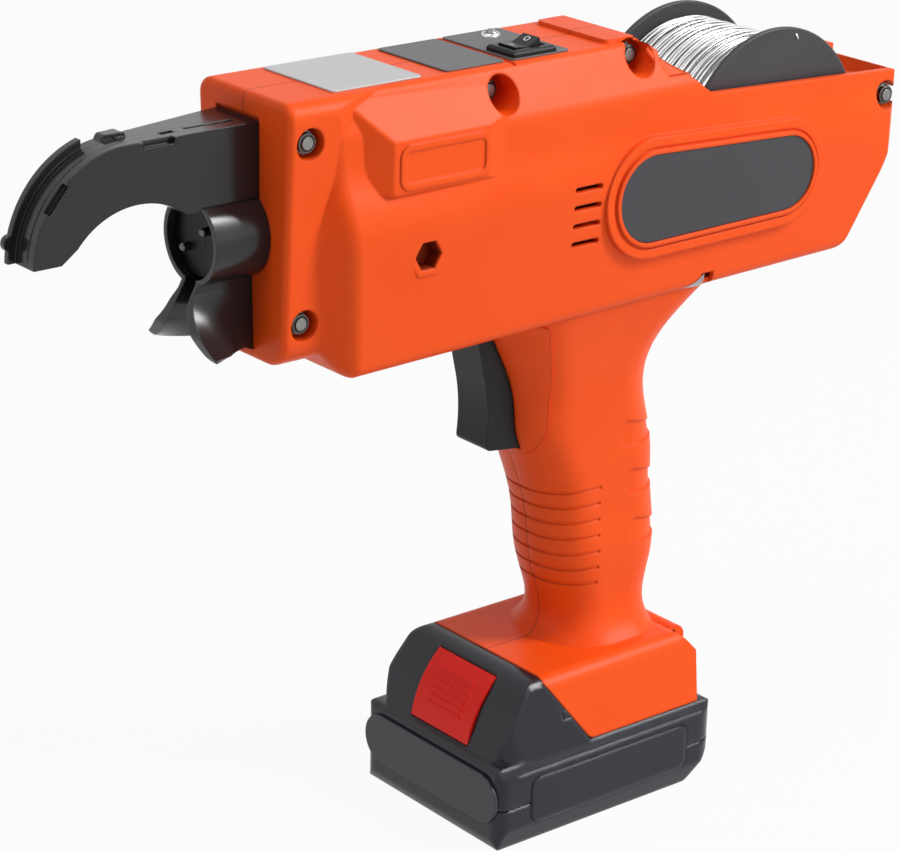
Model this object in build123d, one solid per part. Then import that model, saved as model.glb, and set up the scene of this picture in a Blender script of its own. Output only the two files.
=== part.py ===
"""Rebar tying tool: feeds tie wire round crossed bars, twists it tight and cuts it.

Millimetres. +X forward, +Y to the tool's left side, +Z up, origin on the floor under the battery.
"""
import os
from math import acos, cos, pi, radians, sin, sqrt, tan

from build123d import *

# Walls and fits
WALL = 2.5
GAP = 0.3
RUN = 0.05

# Wire spool
SPOOL_X = -72.8
SPOOL_R = 38.9
SPOOL_HALF = 24.8
FLANGE = 2.2
SPOOL_IN = SPOOL_HALF - FLANGE
HUB_R = 14.0
WOUND_R = 32.0
AXLE_R = 4.0
WINDING_WIRE = 1.35
WINDING_TURNS = 19
WINDING_PITCH = 1.9
WINDING_BEND = 3.0

# Barrel of the housing
FRONT_X = 125.5
SHOULDER_X = 112.0
TOP_Z = 265.0
UNDER_Z = 176.6
UNDER_SLOPE = 0.019
SPINE_HALF = 20.3
SIDE_ROOM = 1.3
REAR_ROOM = 13.3
FLOOR_ROOM = 2.0
BULK_ROOM = 4.9
BAY_HALF = SPOOL_HALF + SIDE_ROOM
SHOULDER_HALF = BAY_HALF + WALL
BELLY_HALF = SHOULDER_HALF + 2.4
KEEL_HALF = BELLY_HALF - 3.2
REAR_X = SPOOL_X - SPOOL_R - REAR_ROOM - WALL
BULK_X = SPOOL_X + SPOOL_R + BULK_ROOM
BULK_LEAN = 13 / 24
BAY_TOP_Z = 242.0
BELLY_Z = 226.0
FLANK_LOW_Z = 237.0
FLANK_TOP_Z = 249.0
TAPER_X = 50.0
RIDGE_X = 104.0
RIDGE_LEAN = 3.4
RIDGE_FLANK = 23.8
NOSE_X = 85.0
NOSE_HALF = 24.2
NOSE_LOW_Z = 181.6
NOSE_LOW_HALF = 20.3
NOSE_ROUND = 2.2
PAD_Y = 30.0
PAD_FRONT_X = 91.0
PAD_REAR_X = 46.0
PAD_LOW_Z = 232.8
PAD_ROUND = 1.6
PAD_RIM = 0.4
PAD_RIM_WIDTH = 2.2

# Scoop from the belly to the nose: distance ahead of the ridge, how far the section is drawn in
SCOOP = [(2.5, 0.9), (5.0, 3.2), (7.5, 6.2), (10.5, 8.3), (14.0, 9.2)]

# Bolts through both halves: X, Z, seat of the nut from the middle plane, bore of the recess
BOLTS = [
    (118, 252.5, 17, 5),
    (118, 195.5, 14, 5),
    (45, 257, 12.5, 6),
    (-13, 260.3, 12.5, 6),
    (-122.3, 233.6, 24, 5),
]
BOLT_R = 2.0
BOLT_HOLE = 2.2
BOLT_HEAD_R = 3.5
BOLT_HEAD = 4.0
NUT_FLATS = 7.0
NUT_HEIGHT = 5.0
BOSS_R = 4.5
HANDLE_SCREWS = [(-22, 122), (-20, 78)]
SCREW_R = 1.6
SCREW_HEAD_R = 3.3

# Handle: Z, front X, rear X, half width
GRIP = [
    (186, 38, -70, 27),
    (174, 34.2, -51.3, 24.3),
    (166, 30.4, -42, 22.5),
    (157, 26.2, -35.5, 20.8),
    (148, 23.6, -33.4, 19.6),
    (137, 22.3, -35, 18.6),
    (126, 17.8, -38, 18),
    (113, 12.6, -39.2, 17.9),
    (100, 9.4, -40.4, 17.8),
    (74, 4, -39.6, 17.4),
    (62, 2.2, -38.6, 18.4),
    (57, 4.6, -40, 21.5),
    (53, 10, -42, 26.5),
]
GRIP_REAR_CORNER = 0.87
GRIP_FRONT_CORNER = 0.88
GRIP_LOW_Z = 57.5
GRIP_GROOVES = 7
GRIP_GROOVE_Z = 112.4
GRIP_GROOVE_STEP = 5.8
GRIP_GROOVE_DEEP = 0.4
GRIP_LIP = 0.9

# Recesses at the back of the handle: front X, lower Z
GRIP_RECESSES = [(-17.2, 124.6), (-20.8, 106.4), (-22.7, 88)]
GRIP_RECESS_HEIGHT = 10.0
GRIP_RECESS_DEEP = 0.7

# Foot under the handle
FOOT_TOP_Z = 55.4
FOOT_LOW_Z = 29.9
FOOT_TOP_HALF = 30.6
FOOT_CORNER = 5.0
FOOT_FLARE = 0.156
FOOT_FRONT_X = 25.3
FOOT_REAR_X = -43.3
RAIL_Z = 40.0
RAIL_HEIGHT = 2.5
RAIL_DEPTH = 2.0
RAIL_FRONT_X = 18.0

# Twisting drive on the X axis
TWIST_Z = 222.0
TWIST_MOTOR_R = 18.0
TWIST_MOTOR_X = 15.0
GEARBOX_X = 64.0
GEARBOX_R = 19.5
GEARBOX_END_X = 98.0
TWIST_MODULE = 0.9
SUN_TEETH = 12
PLANET_TEETH = 12
RING_TEETH = SUN_TEETH + 2 * PLANET_TEETH
PLANET_ORBIT = TWIST_MODULE * (SUN_TEETH + PLANET_TEETH) / 2
PLANET_TURNS = [0, 120, 240]
PLANET_X = 69.5
PLANET_WIDTH = 9.5
CARRIER_X = PLANET_X + PLANET_WIDTH + 0.6
CARRIER_R = 14.5
CARRIER_WIDTH = 5.0
PLANET_PIN_R = 2.0
MOTOR_SHAFT_R = 1.6
SPINDLE_R = 4.0
HEAD_X = 130.0
HEAD_R = 11.8
HEAD_WIDTH = 12.0
TWIST_PIN_R = 1.3
TWIST_PIN_ORBIT = 6.3
TWIST_PIN_TURN = radians(34.5)
TWIST_PIN_END_X = 144.7
BEARING_WIDTH = 6.0
FRONT_BEARING_R = 9.5
BOX_BEARING_R = 8.0

# Gear teeth
PRESSURE = radians(20)
BACKLASH = 0.16

# Lower jaw
JAW_IN_R = HEAD_R + 0.5
JAW_WALL = 1.7
JAW_R = JAW_IN_R + JAW_WALL
JAW_X = 145.0
JAW_BACK = 2.5
JAW_COLLAR_R = JAW_R + 1.5
JAW_SPIGOT_X = 118.0
JAW_SLOT = 2.8
JAW_NECK_Z = 206.5
LIP_REAR = (3.4, 185.0)
LIP_FRONT = (19.5, 188.6)
LIP_FRONT_X = 152.0

# Wire line and feed
WIRE_Y = -2.5
WIRE_Z = 247.4
WIRE_R = 0.4
CHANNEL_R = 0.8
FEED_X = -4.0
DRIVE_WHEEL_R = 8.0
IDLER_R = 5.0
FEED_MODULE = 0.8
FEED_TEETH = 42
FEED_PINION_TEETH = 12
FEED_LEAN = 13.4
FEED_MOTOR_R = 12.0
FEED_SHAFT_R = 2.0
FRAME_THICK = 2.5
FRAME_POSTS = [(10, 209), (-21, 205.5)]
FEED_GEAR_Y = 5.0
FEED_GEAR_WIDTH = 4.0
WHEEL_WIDTH = 4.4
LEVER_X = 12.0
LEVER_Z = 255.0
LEVER_THICK = 3.2
LEVER_LEFT = WIRE_Y - WHEEL_WIDTH / 2 - GAP
LEVER_RIGHT = LEVER_LEFT - LEVER_THICK
LEVER_PIN_R = 2.0
IDLER_PIN_R = 1.5
TUBE_R = 2.0
BUSH_R = 2.4
CUTTER_X = 99.0
CUTTER_WIDTH = 11.0
CUTTER_LOW_Z = WIRE_Z - 5.9
CUTTER_TOP_Z = WIRE_Z + 5.6
DRUM_R = 4.0

# Guide arm
ARM_TANG_X = SHOULDER_X
ARM_TOP_Z = 257.0
ARM_LOW_Z = 232.7
ARM_BEND_X = 171.0
ARM_OUT_R = 32.8
ARM_TIP_Z = 225.0
ARM_IN_X = 168.0
ARM_IN_Z = 211.5
ARM_IN_R = 27.3
ARM_CORE_RIGHT = -0.2
ARM_CORE_LEFT = 4.0
ARM_LEFT = 7.8
ARM_RIGHT = -13.9

# Plaque on each side: two circles joined by their tangents
PLAQUE_FRONT = (-14.0, 215.6, 14.6)
PLAQUE_REAR = (-73.5, 214.4, 12.8)
PLAQUE_SEAT_Y = 30.6
PLAQUE_THICK = 0.9
PLAQUE_RIM_Y = BELLY_HALF + 1.0

# Top fittings
PLATE = 0.6
ROCKER_X = 26.4
ROCKER_Y = 10.55
ROCKER_HALF = 7.2
ROCKER_WIDE = 5.35
ROCKER_FRAME = 1.5
ROCKER_TILT = 10.0
ROCKER_BASE_Z = TOP_Z + PLATE
ROCKER_PIVOT_Z = ROCKER_BASE_Z - 2.4
ROCKER_PIN_R = 1.0
ROCKER_LOW_Z = 252.5
LAMP_X = 21.0
LAMP_Y = -11.0
LAMP_R = 2.2

# Trigger
TRIGGER_HALF = 7.9
TRIGGER_LOW_Z = 131.8
TRIGGER_TOP_Z = 178.2
TRIGGER_FRONT_X = 34.4
TRIGGER_REAR_X = 8.0
TRIGGER_DROP = 3.5
TRIGGER_SPRING_Z = 152.0
TRIGGER_BORE_R = 3.2
TRIGGER_BORE_X = 20.0
SWITCH_X = 0.0
SHELF_Z = 139.0

# Control board
BOARD_Z = 186.0
BOARD_THICK = 1.6
BOARD_POSTS = [(44, 15), (44, -15), (86, 15), (86, -15)]

# Battery
BATTERY_HALF = 36.6
BATTERY_FRONT_X = 48.5
BATTERY_REAR_X = -50.4
BATTERY_WALL = 2.0
SEAM_Z = 14.5
LINE_Z = 26.2
LEDGE_Z = FOOT_LOW_Z - GAP
CELL_R = 9.15
CELL_LENGTH = 65.0
CELL_PITCH = 19.0
CELL_Z = 12.5
BUTTON_HALF = 15.1
BUTTON_TOP = (32.6, 52.4)
BUTTON_LEAN = radians(28.6)
BUTTON_LENGTH = 25.1
BUTTON_PROUD = 0.8
BUTTON_BULGE = 2.2
BUTTON_RIB = 0.5
BUTTON_DEEP = 6.0
BUTTON_POCKET = 10.0
BUTTON_SPRING_DEEP = 2.0
TERMINAL_X = -33.0
TOWER_REAR_X = -30.0
BLADE_X = -24.0
BATTERY_SCREWS = [(36, 30.5), (36, -30.5), (-34, 30.5), (-34, -30.5)]


def under(x):
    return UNDER_Z + UNDER_SLOPE * (SHOULDER_X - x)


def foot_half(z):
    return FOOT_TOP_HALF + (FOOT_TOP_Z - z) * FOOT_FLARE


# Places that follow from the sizes
SPOOL_Z = under(SPOOL_X) + WALL + FLOOR_ROOM + SPOOL_R
FEED_Z = WIRE_Z - WIRE_R - DRIVE_WHEEL_R
IDLER_Z = WIRE_Z + WIRE_R + IDLER_R
LEVER_TOP_Z = IDLER_Z + 3.2
FEED_PITCH = FEED_MODULE * (FEED_TEETH + FEED_PINION_TEETH) / 2
FEED_MOTOR_X = FEED_X - FEED_PITCH * sin(radians(FEED_LEAN))
FEED_MOTOR_Z = FEED_Z - FEED_PITCH * cos(radians(FEED_LEAN))
CEILING_Z = TOP_Z - WALL
BARREL_SIDE = [
    (FRONT_X + 10, under(FRONT_X + 10) - 0.5),
    (FRONT_X + 10, TOP_Z + 10),
    (BULK_X + 24.8, TOP_Z + 10),
    (BULK_X - 11, BAY_TOP_Z + 4, 8),
    (REAR_X, BAY_TOP_Z, 2),
    (REAR_X + 3, BAY_TOP_Z - 30, 30),
    (REAR_X + 21.5, under(REAR_X + 21.5) - 0.5, 12),
]
BARREL_PLAN = [
    (FRONT_X + 10, BELLY_HALF + 1),
    (REAR_X + 6.5, BELLY_HALF + 1),
    (REAR_X, BELLY_HALF - 3, 5),
]
BEHIND_BULKHEAD = [
    (-200, 300),
    (BULK_X + 58 * BULK_LEAN, 300),
    (BULK_X, BAY_TOP_Z),
    (BULK_X, 150),
    (-200, 150),
]


def outline(points):
    """Closed face from corners (a, b) or (a, b, corner radius)."""
    radii = [point[2] if len(point) > 2 else 0 for point in points]
    if max(radii) == 0:
        return make_face(Polyline(*points, close=True))
    return make_face(FilletPolyline(*[point[:2] for point in points], radius=radii, close=True))


def mirrored(half):
    """Corners on one side of the upright axis, followed by their mirror images."""
    return half + [(-point[0], *point[1:]) for point in reversed(half)]


def mirrored_plan(half):
    return half + [(point[0], -point[1], *point[2:]) for point in reversed(half)]


def inward(face, amount):
    return face if amount == 0 else offset(face, amount=-amount)


def along_x(face, x0, x1):
    return extrude(Plane.YZ.offset(x0) * face, amount=x1 - x0, dir=(1, 0, 0))


def along_y(face, y0, y1):
    return extrude(Plane.XZ.offset(-y0) * face, amount=y1 - y0, dir=(0, 1, 0))


def along_z(face, z0, z1):
    return extrude(Plane.XY.offset(z0) * face, amount=z1 - z0, dir=(0, 0, 1))


def block(x0, x1, y0, y1, z0, z1):
    return Pos((x0 + x1) / 2, (y0 + y1) / 2, (z0 + z1) / 2) * Box(x1 - x0, y1 - y0, z1 - z0)


def rod_x(r, y, z, x0, x1):
    return Pos((x0 + x1) / 2, y, z) * Rot(0, 90, 0) * Cylinder(r, x1 - x0)


def rod_y(r, x, z, y0, y1):
    return Pos(x, (y0 + y1) / 2, z) * Rot(90, 0, 0) * Cylinder(r, y1 - y0)


def rod_z(r, x, y, z0, z1):
    return Pos(x, y, (z0 + z1) / 2) * Cylinder(r, z1 - z0)


def rocker_block(grow, z0, z1):
    """Block under the power rocker, grown all round."""
    long = ROCKER_HALF + grow
    wide = ROCKER_WIDE + grow
    return block(ROCKER_X - long, ROCKER_X + long, ROCKER_Y - wide, ROCKER_Y + wide, z0, z1)


def flip(shape):
    """The same shape on the other side of the middle plane."""
    return mirror(shape, about=Plane.XZ)


def both(shape):
    return shape + flip(shape)


def group(shapes):
    return Compound(children=[solid for shape in shapes for solid in shape.solids()])


def roll_angle(rho, base_r):
    turn = acos(min(1, base_r / rho))
    return tan(turn) - turn


def gear_face(teeth, module, tip, root, slack):
    """Involute gear about the origin with a tooth on the first axis."""
    pitch_r = teeth * module / 2
    base_r = pitch_r * cos(PRESSURE)
    root_r = pitch_r - root * module
    tip_r = pitch_r + tip * module
    half_tooth = (pi / 2 - slack / module) / teeth + tan(PRESSURE) - PRESSURE
    low_r = max(base_r, root_r)
    radii = [low_r + (tip_r - low_r) * step / 3 for step in range(4)]
    if root_r < base_r:
        radii.insert(0, root_r)
    flank = [(rho, half_tooth - roll_angle(rho, base_r)) for rho in radii]
    points = []
    for tooth in range(teeth):
        middle = 2 * pi * tooth / teeth
        for rho, half in flank:
            points.append((rho * cos(middle - half), rho * sin(middle - half)))
        for rho, half in reversed(flank):
            points.append((rho * cos(middle + half), rho * sin(middle + half)))
    return make_face(Polyline(*points, close=True))


def biarc(p0, t0, p1, t1):
    """Two tangent arcs from p0 heading t0 to p1 heading t1."""
    span = p1 - p0
    both_ways = t0 + t1
    closeness = 2 * (1 - t0.dot(t1))
    reach = (sqrt(span.dot(both_ways) ** 2 + closeness * span.dot(span)) - span.dot(both_ways)) / closeness
    q0 = p0 + t0 * reach
    q1 = p1 - t1 * reach
    middle = (q0 + q1) * 0.5
    return [TangentArc(p0, middle, tangent=t0), TangentArc(middle, p1, tangent=(q1 - q0).normalized())]


def coil(name, radius, pitch, turns, wire, bend, length):
    """Wire wound about Z from 0 to length, its ends turned along the axis."""
    axis = Vector(0, 0, 1)
    slope = pitch / (2 * pi * radius)
    rise = slope / sqrt(1 + slope**2)
    run = 1 / sqrt(1 + slope**2)
    start_z = (length - pitch * turns) / 2

    def spot(turn):
        return Vector(radius * cos(2 * pi * turn), radius * sin(2 * pi * turn), start_z + pitch * turn)

    def heading(turn):
        return Vector(-run * sin(2 * pi * turn), run * cos(2 * pi * turn), rise)

    def bend_end(point, going, sense):
        """Where a bend that leaves point along going has come round to the axis."""
        across = (axis * sense - going * rise).normalized()
        return point + across * bend * (1 - rise) + going * bend * run

    low = bend_end(spot(0), heading(0) * -1, -1)
    high = bend_end(spot(turns), heading(turns), 1)
    edges = [Line(Vector(low.X, low.Y, 0), low), TangentArc(low, spot(0), tangent=axis)]
    for quarter in range(4 * turns):
        begin = quarter / 4
        edges += biarc(spot(begin), heading(begin), spot(begin + 0.25), heading(begin + 0.25))
    edges.append(TangentArc(spot(turns), high, tangent=heading(turns)))
    edges.append(Line(high, Vector(high.X, high.Y, length)))
    points = [edge @ (step / 4) for edge in edges for step in range(4)]
    turn_points = 4 * 2 * 4
    nearest = min(
        (points[i] - points[j]).length
        for i in range(len(points))
        for j in range(i + turn_points // 2, len(points))
    )
    print(name, "least gap to itself", round(nearest - wire, 3), "straight ends", round(low.Z, 3))
    path = Wire(edges)
    return sweep(Plane((low.X, low.Y, 0)) * Circle(wire / 2), path=path)


# Housing
def barrel_section(x, inset):
    """Section of the barrel behind its taper."""
    half = [
        (SPINE_HALF, TOP_Z, 3),
        (SHOULDER_HALF, FLANK_TOP_Z, 10),
        (SHOULDER_HALF, FLANK_LOW_Z, 20),
        (BELLY_HALF, BELLY_Z, 30),
        (KEEL_HALF, under(x), 4),
    ]
    return Plane.YZ.offset(x) * inward(outline(mirrored(half)), inset)


def ridge_section(ahead, drawn, inset):
    """Leaning section at the front of the belly, its flanks narrower than behind."""
    half = [
        (SPINE_HALF - drawn, TOP_Z - drawn / 10, 3),
        (RIDGE_FLANK - drawn, FLANK_TOP_Z + 4, 10),
        (RIDGE_FLANK + 0.6 - drawn, FLANK_LOW_Z + 3, 20),
        (BELLY_HALF - drawn, BELLY_Z, 30),
        (KEEL_HALF - drawn, under(RIDGE_X) + 1.2 * max(0, drawn - 1.5), 4),
    ]
    lean = radians(RIDGE_LEAN)
    level = [(y, z - TWIST_Z, corner) for y, z, corner in half]
    place = Plane((RIDGE_X + ahead, 0, TWIST_Z), x_dir=(0, 1, 0), z_dir=(cos(lean), 0, -sin(lean)))
    return place * inward(outline(mirrored(level)), inset)


def barrel(inset):
    middle = barrel_section(TAPER_X, inset)
    ridge = ridge_section(-inset, 0, inset)
    body = loft([middle, barrel_section(REAR_X - 1, inset)], ruled=True) + loft([ridge, middle], ruled=True)
    if inset == 0:
        body += loft([ridge] + [ridge_section(ahead, drawn, 0) for ahead, drawn in SCOOP])
    body &= along_y(inward(outline(BARREL_SIDE), inset), -40, 40)
    return body & along_z(inward(outline(mirrored_plan(BARREL_PLAN)), inset), 150, 300)


def nose(inset):
    section = [(NOSE_HALF, TOP_Z, 5), (NOSE_LOW_HALF, NOSE_LOW_Z, 10)]
    plan = [(NOSE_X, SPINE_HALF - 1.5), (SHOULDER_X - 3, NOSE_HALF + 0.1, 12), (FRONT_X, NOSE_HALF + 0.1)]
    body = along_x(inward(outline(mirrored(section)), inset), NOSE_X, FRONT_X - inset)
    if inset == 0:
        body = fillet(body.faces().sort_by(Axis.X)[-1].edges(), NOSE_ROUND)
    return body & along_z(inward(outline(mirrored_plan(plan)), inset), 150, 300)


def side_pad():
    """Raised pad on the left flank: sloped front end, flush rear end and a rim round its face."""
    section = [
        (15, PAD_LOW_Z),
        (PAD_Y, PAD_LOW_Z),
        (PAD_Y, FLANK_TOP_Z + 1.2),
        (SPINE_HALF - 0.7, TOP_Z - 0.4),
        (15, TOP_Z - 0.4),
    ]
    plan = [
        (PAD_REAR_X, 10),
        (PAD_REAR_X, SHOULDER_HALF - 0.3),
        (PAD_REAR_X + 10, PAD_Y + 0.3),
        (PAD_FRONT_X, PAD_Y + 0.3),
        (PAD_FRONT_X + 11, RIDGE_FLANK - 1.5),
        (PAD_FRONT_X + 11, 10),
    ]
    body = along_x(outline(section), PAD_REAR_X, PAD_FRONT_X + 11)
    body &= along_z(outline(plan), 200, 280)
    front = [edge for edge in body.edges() if edge.center().Y > 24 and edge.center().X > PAD_REAR_X + 11]
    body = fillet(front, PAD_ROUND)
    rim = [(PAD_REAR_X + 8, PAD_LOW_Z + 1.7, 4), (PAD_FRONT_X - 1.8, PAD_LOW_Z + 1.7, 4)]
    rim += [(PAD_FRONT_X - 1.8, FLANK_TOP_Z - 0.2, 4), (PAD_REAR_X + 8, FLANK_TOP_Z - 0.2, 4)]
    face = outline(rim)
    return body + along_y(face - inward(face, PAD_RIM_WIDTH), PAD_Y - 2, PAD_Y + PAD_RIM)


def handle(inset):
    rings = []
    for z, front, rear, half in GRIP:
        side = half - inset
        rear_corner = (rear + inset, side, GRIP_REAR_CORNER * half - inset)
        front_corner = (front - inset, side, GRIP_FRONT_CORNER * half - inset)
        rings.append(Pos(0, 0, z) * outline(mirrored_plan([rear_corner, front_corner])))
    return loft(rings)


def foot_face(inset, low_z):
    top_half = FOOT_TOP_HALF - inset
    low_half = foot_half(low_z) - inset
    return outline(mirrored([(top_half, FOOT_TOP_Z - inset, FOOT_CORNER - inset), (low_half, low_z)]))


def foot():
    side = [
        (FOOT_FRONT_X, FOOT_TOP_Z),
        (FOOT_FRONT_X, FOOT_TOP_Z - 1.8),
        (FOOT_FRONT_X - 18.3, FOOT_LOW_Z, 4),
        (FOOT_REAR_X + 1, FOOT_LOW_Z),
        (FOOT_REAR_X, 48),
        (FOOT_REAR_X + 6.5, FOOT_TOP_Z, 6),
    ]
    body = along_x(foot_face(0, FOOT_LOW_Z), FOOT_REAR_X - 5, FOOT_FRONT_X + 5)
    body &= along_y(outline(side), -40, 40)
    return body + rod_y(4.5, FOOT_REAR_X + 2.5, 50.2, -23, 23)


def plaque_face(grow):
    """Two circles joined by their outer tangents, grown all round."""
    (x0, z0, r0), (x1, z1, r1) = PLAQUE_FRONT, PLAQUE_REAR
    heading = Vector(x1 - x0, z1 - z0).normalized()
    lean = (r0 - r1) / sqrt((x1 - x0) ** 2 + (z1 - z0) ** 2)
    hold = sqrt(1 - lean**2)
    left = Vector(-heading.Y, heading.X)
    normals = [heading * lean + left * (hold * side) for side in (1, -1)]
    front = [Vector(x0, z0) + normal * (r0 + grow) for normal in normals]
    rear = [Vector(x1, z1) + normal * (r1 + grow) for normal in normals]
    front_tip = Vector(x0, z0) - heading * (r0 + grow)
    rear_tip = Vector(x1, z1) + heading * (r1 + grow)
    edges = Line(front[0], rear[0]) + ThreePointArc(rear[0], rear_tip, rear[1])
    edges += Line(rear[1], front[1])
    return make_face(edges + ThreePointArc(front[1], front_tip, front[0]))


def housing_outer():
    body = barrel(0) + nose(0) + both(side_pad())
    body += both(along_y(plaque_face(5.6), 25, BELLY_HALF + 0.3))
    body += both(along_y(plaque_face(1.6), 25, PLAQUE_RIM_Y))
    bar = outline(mirrored_plan([(BULK_X + 26, 17, 2), (BULK_X + 14, 17, 2)]))
    return body + along_z(bar, CEILING_Z, TOP_Z + 1.2) + handle(0) + foot()


def front_space():
    """Closed space of the barrel ahead of the spool bay."""
    space = barrel(WALL) + nose(WALL)
    wall_x = BULK_X + WALL
    lean = [(wall_x, 150), (wall_x, BAY_TOP_Z - 0.7), (wall_x + 33 * BULK_LEAN, BAY_TOP_Z + 32.3)]
    return space & along_y(outline(lean + [(200, 300), (200, 150)]), -60, 60)


def spool_bay():
    side = [(20, under(20)), (20, 330), (REAR_X, 330)] + BARREL_SIDE[4:]
    section = [(BAY_HALF, 330), (BAY_HALF, FLANK_LOW_Z)]
    section += [(BELLY_HALF - WALL, BELLY_Z), (KEEL_HALF - WALL, 170)]
    space = along_y(inward(outline(side), WALL), -40, 40) & along_y(outline(BEHIND_BULKHEAD), -40, 40)
    space &= along_x(outline(mirrored(section)), REAR_X - 5, 20)
    return space & along_z(inward(outline(mirrored_plan(BARREL_PLAN)), WALL), 150, 340)


def grip_space():
    space = handle(WALL) & block(-100, 60, -40, 40, GRIP_LOW_Z, 200)
    return space - block(-100, BULK_X + WALL, -40, 40, under(BULK_X) - 1, 200)


def bolt_cups(outer):
    """Bosses round the through bolts, with a cup behind each nut and head recess."""
    cups = []
    for x, z, seat, bore in BOLTS:
        cups.append(rod_y(BOSS_R, x, z, -seat, seat))
        cups.append(rod_y(bore + 2, x, z, seat - WALL, 40))
        cups.append(rod_y(bore + 2, x, z, -40, WALL - seat))
    for x, z, seat, bore in BOLTS[2:4]:
        cups.append(block(x - 1.2, x + 1.2, -seat, seat, z, TOP_Z))
    return [cup & outer for cup in cups]


def ribs(space):
    found = []
    for x, radius in [(24, TWIST_MOTOR_R), (52, TWIST_MOTOR_R), (66, GEARBOX_R), (92, GEARBOX_R)]:
        rib = space & block(x, x + 3, -40, 40, 191, 251)
        rib -= rod_x(radius, 0, TWIST_Z, x, x + 3)
        found.append(rib - rod_x(TUBE_R, WIRE_Y, WIRE_Z, x, x + 3))
    return found


def fittings(outer, front):
    found = bolt_cups(outer) + ribs(front)
    for x, z in FRAME_POSTS:
        found.append(rod_y(3, x, z, FRAME_THICK, 40) & outer)
        found.append(rod_y(3, x, z, -40, 0) & outer)
    for x, y in BOARD_POSTS:
        found.append(rod_z(2.5, x, y, UNDER_Z + 1, BOARD_Z))
        found.append(rod_z(1.2, x, y, BOARD_Z, BOARD_Z + BOARD_THICK + 0.6))
    found.append(block(CUTTER_X + 1, CUTTER_X + CUTTER_WIDTH - 1, -8, 3, CUTTER_TOP_Z, TOP_Z - 1))
    found.append(both(rod_y(AXLE_R + 4, SPOOL_X, SPOOL_Z, SPOOL_HALF + 0.5, BELLY_HALF - 1)))
    for x, z in HANDLE_SCREWS:
        found.append(rod_y(SCREW_R + 2.2, x, z, -40, 40) & handle(0))
    found.append(handle(WALL) & block(-40, SWITCH_X - 2, -30, 30, SHELF_Z - 3, SHELF_Z))
    rail_y = foot_half(RAIL_Z) - WALL - RAIL_DEPTH
    rail = block(TOWER_REAR_X - 6, RAIL_FRONT_X, rail_y, 40, RAIL_Z, RAIL_Z + RAIL_HEIGHT)
    found.append(both(rail & foot()))
    return found


def holes():
    """Everything that is cut through the finished shell."""
    cuts = []
    for x, z, seat, bore in BOLTS:
        cuts.append(rod_y(BOLT_HOLE, x, z, -seat, seat))
        cuts.append(both(rod_y(bore, x, z, seat, 45)))
    for x, z in HANDLE_SCREWS:
        cuts.append(rod_y(SCREW_R, x, z, -30, 10))
        cuts.append(rod_y(SCREW_HEAD_R + GAP, x, z, -30, -13))
    arm_right = ARM_RIGHT - GAP
    arm_left = ARM_LEFT + GAP
    cuts.append(block(ARM_TANG_X, 130, arm_right, arm_left, ARM_LOW_Z, ARM_TOP_Z))
    cuts.append(block(FRONT_X - WALL / 2, 130, arm_right, arm_left, ARM_LOW_Z, ARM_TOP_Z + 1.2))
    cuts.append(rod_x(JAW_R, 0, TWIST_Z, 115, 130))
    cuts.append(rod_x(BUSH_R, WIRE_Y, WIRE_Z, BULK_X - 5, -16))
    cuts.append(rod_y(AXLE_R, SPOOL_X, SPOOL_Z, -BELLY_HALF + 1.4, BELLY_HALF - 1.4))
    for z in (223.5, 217.4, 211.3, 205.2):
        cuts.append(both(along_y(Pos(13.7, z) * SlotOverall(11.5, 1.8), 20, 40)))
    cuts.append(both(along_y(plaque_face(0.15), PLAQUE_SEAT_Y, 40)))
    cuts.append(both(along_y(plaque_face(2.4) - plaque_face(1.6), BELLY_HALF - 0.2, 40)))
    cuts.append(rocker_block(0, 250, 270))
    cuts.append(rod_z(LAMP_R, LAMP_X, LAMP_Y, 250, 270))
    cuts.append(block(36.6, 37.9, -40, 40, TOP_Z - 0.8, TOP_Z + 5))
    slot_half = TRIGGER_HALF + GAP
    rear_z = TRIGGER_LOW_Z - TRIGGER_DROP - GAP
    slope = TRIGGER_DROP / (TRIGGER_FRONT_X - TRIGGER_REAR_X)
    slot = [(TRIGGER_REAR_X, rear_z), (60, rear_z + slope * (60 - TRIGGER_REAR_X))]
    slot += [(60, TRIGGER_TOP_Z + GAP), (TRIGGER_REAR_X, TRIGGER_TOP_Z + GAP)]
    cuts.append(along_y(outline(slot), -slot_half, slot_half))
    cuts.append(block(TERMINAL_X - 5, TERMINAL_X - 1, -5, 5, 50, GRIP_LOW_Z + 1.5))
    return cuts


def grip_cuts():
    """Shallow grooves round the front of the grip and recesses at its back."""
    skin = handle(-1) - handle(GRIP_GROOVE_DEEP)
    steps = [GRIP_GROOVE_Z - GRIP_GROOVE_STEP * number for number in range(GRIP_GROOVES)]
    cuts = [skin & block(-8.5, 40, -40, 40, z - 0.5, z + 0.5) for z in steps]
    deep_skin = handle(-1) - handle(GRIP_RECESS_DEEP)
    for x, z in GRIP_RECESSES:
        top_z = z + GRIP_RECESS_HEIGHT
        side = [(x, z, 2), (x, top_z, 2), (x - 30, top_z - 7.8), (x - 30, z)]
        cuts.append(deep_skin & along_y(outline(side), -40, 40))
    return cuts


def trigger_lip():
    """Raised surround at the front of the grip, beside and under the trigger."""
    side = [
        (60, 190),
        (22, 176),
        (16.5, 156, 20),
        (15.5, 138, 20),
        (18, 127, 6),
        (24, 124.5, 4),
        (60, 124.5),
    ]
    return (handle(-GRIP_LIP) - handle(0.5)) & along_y(outline(side), -40, 40)


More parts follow.
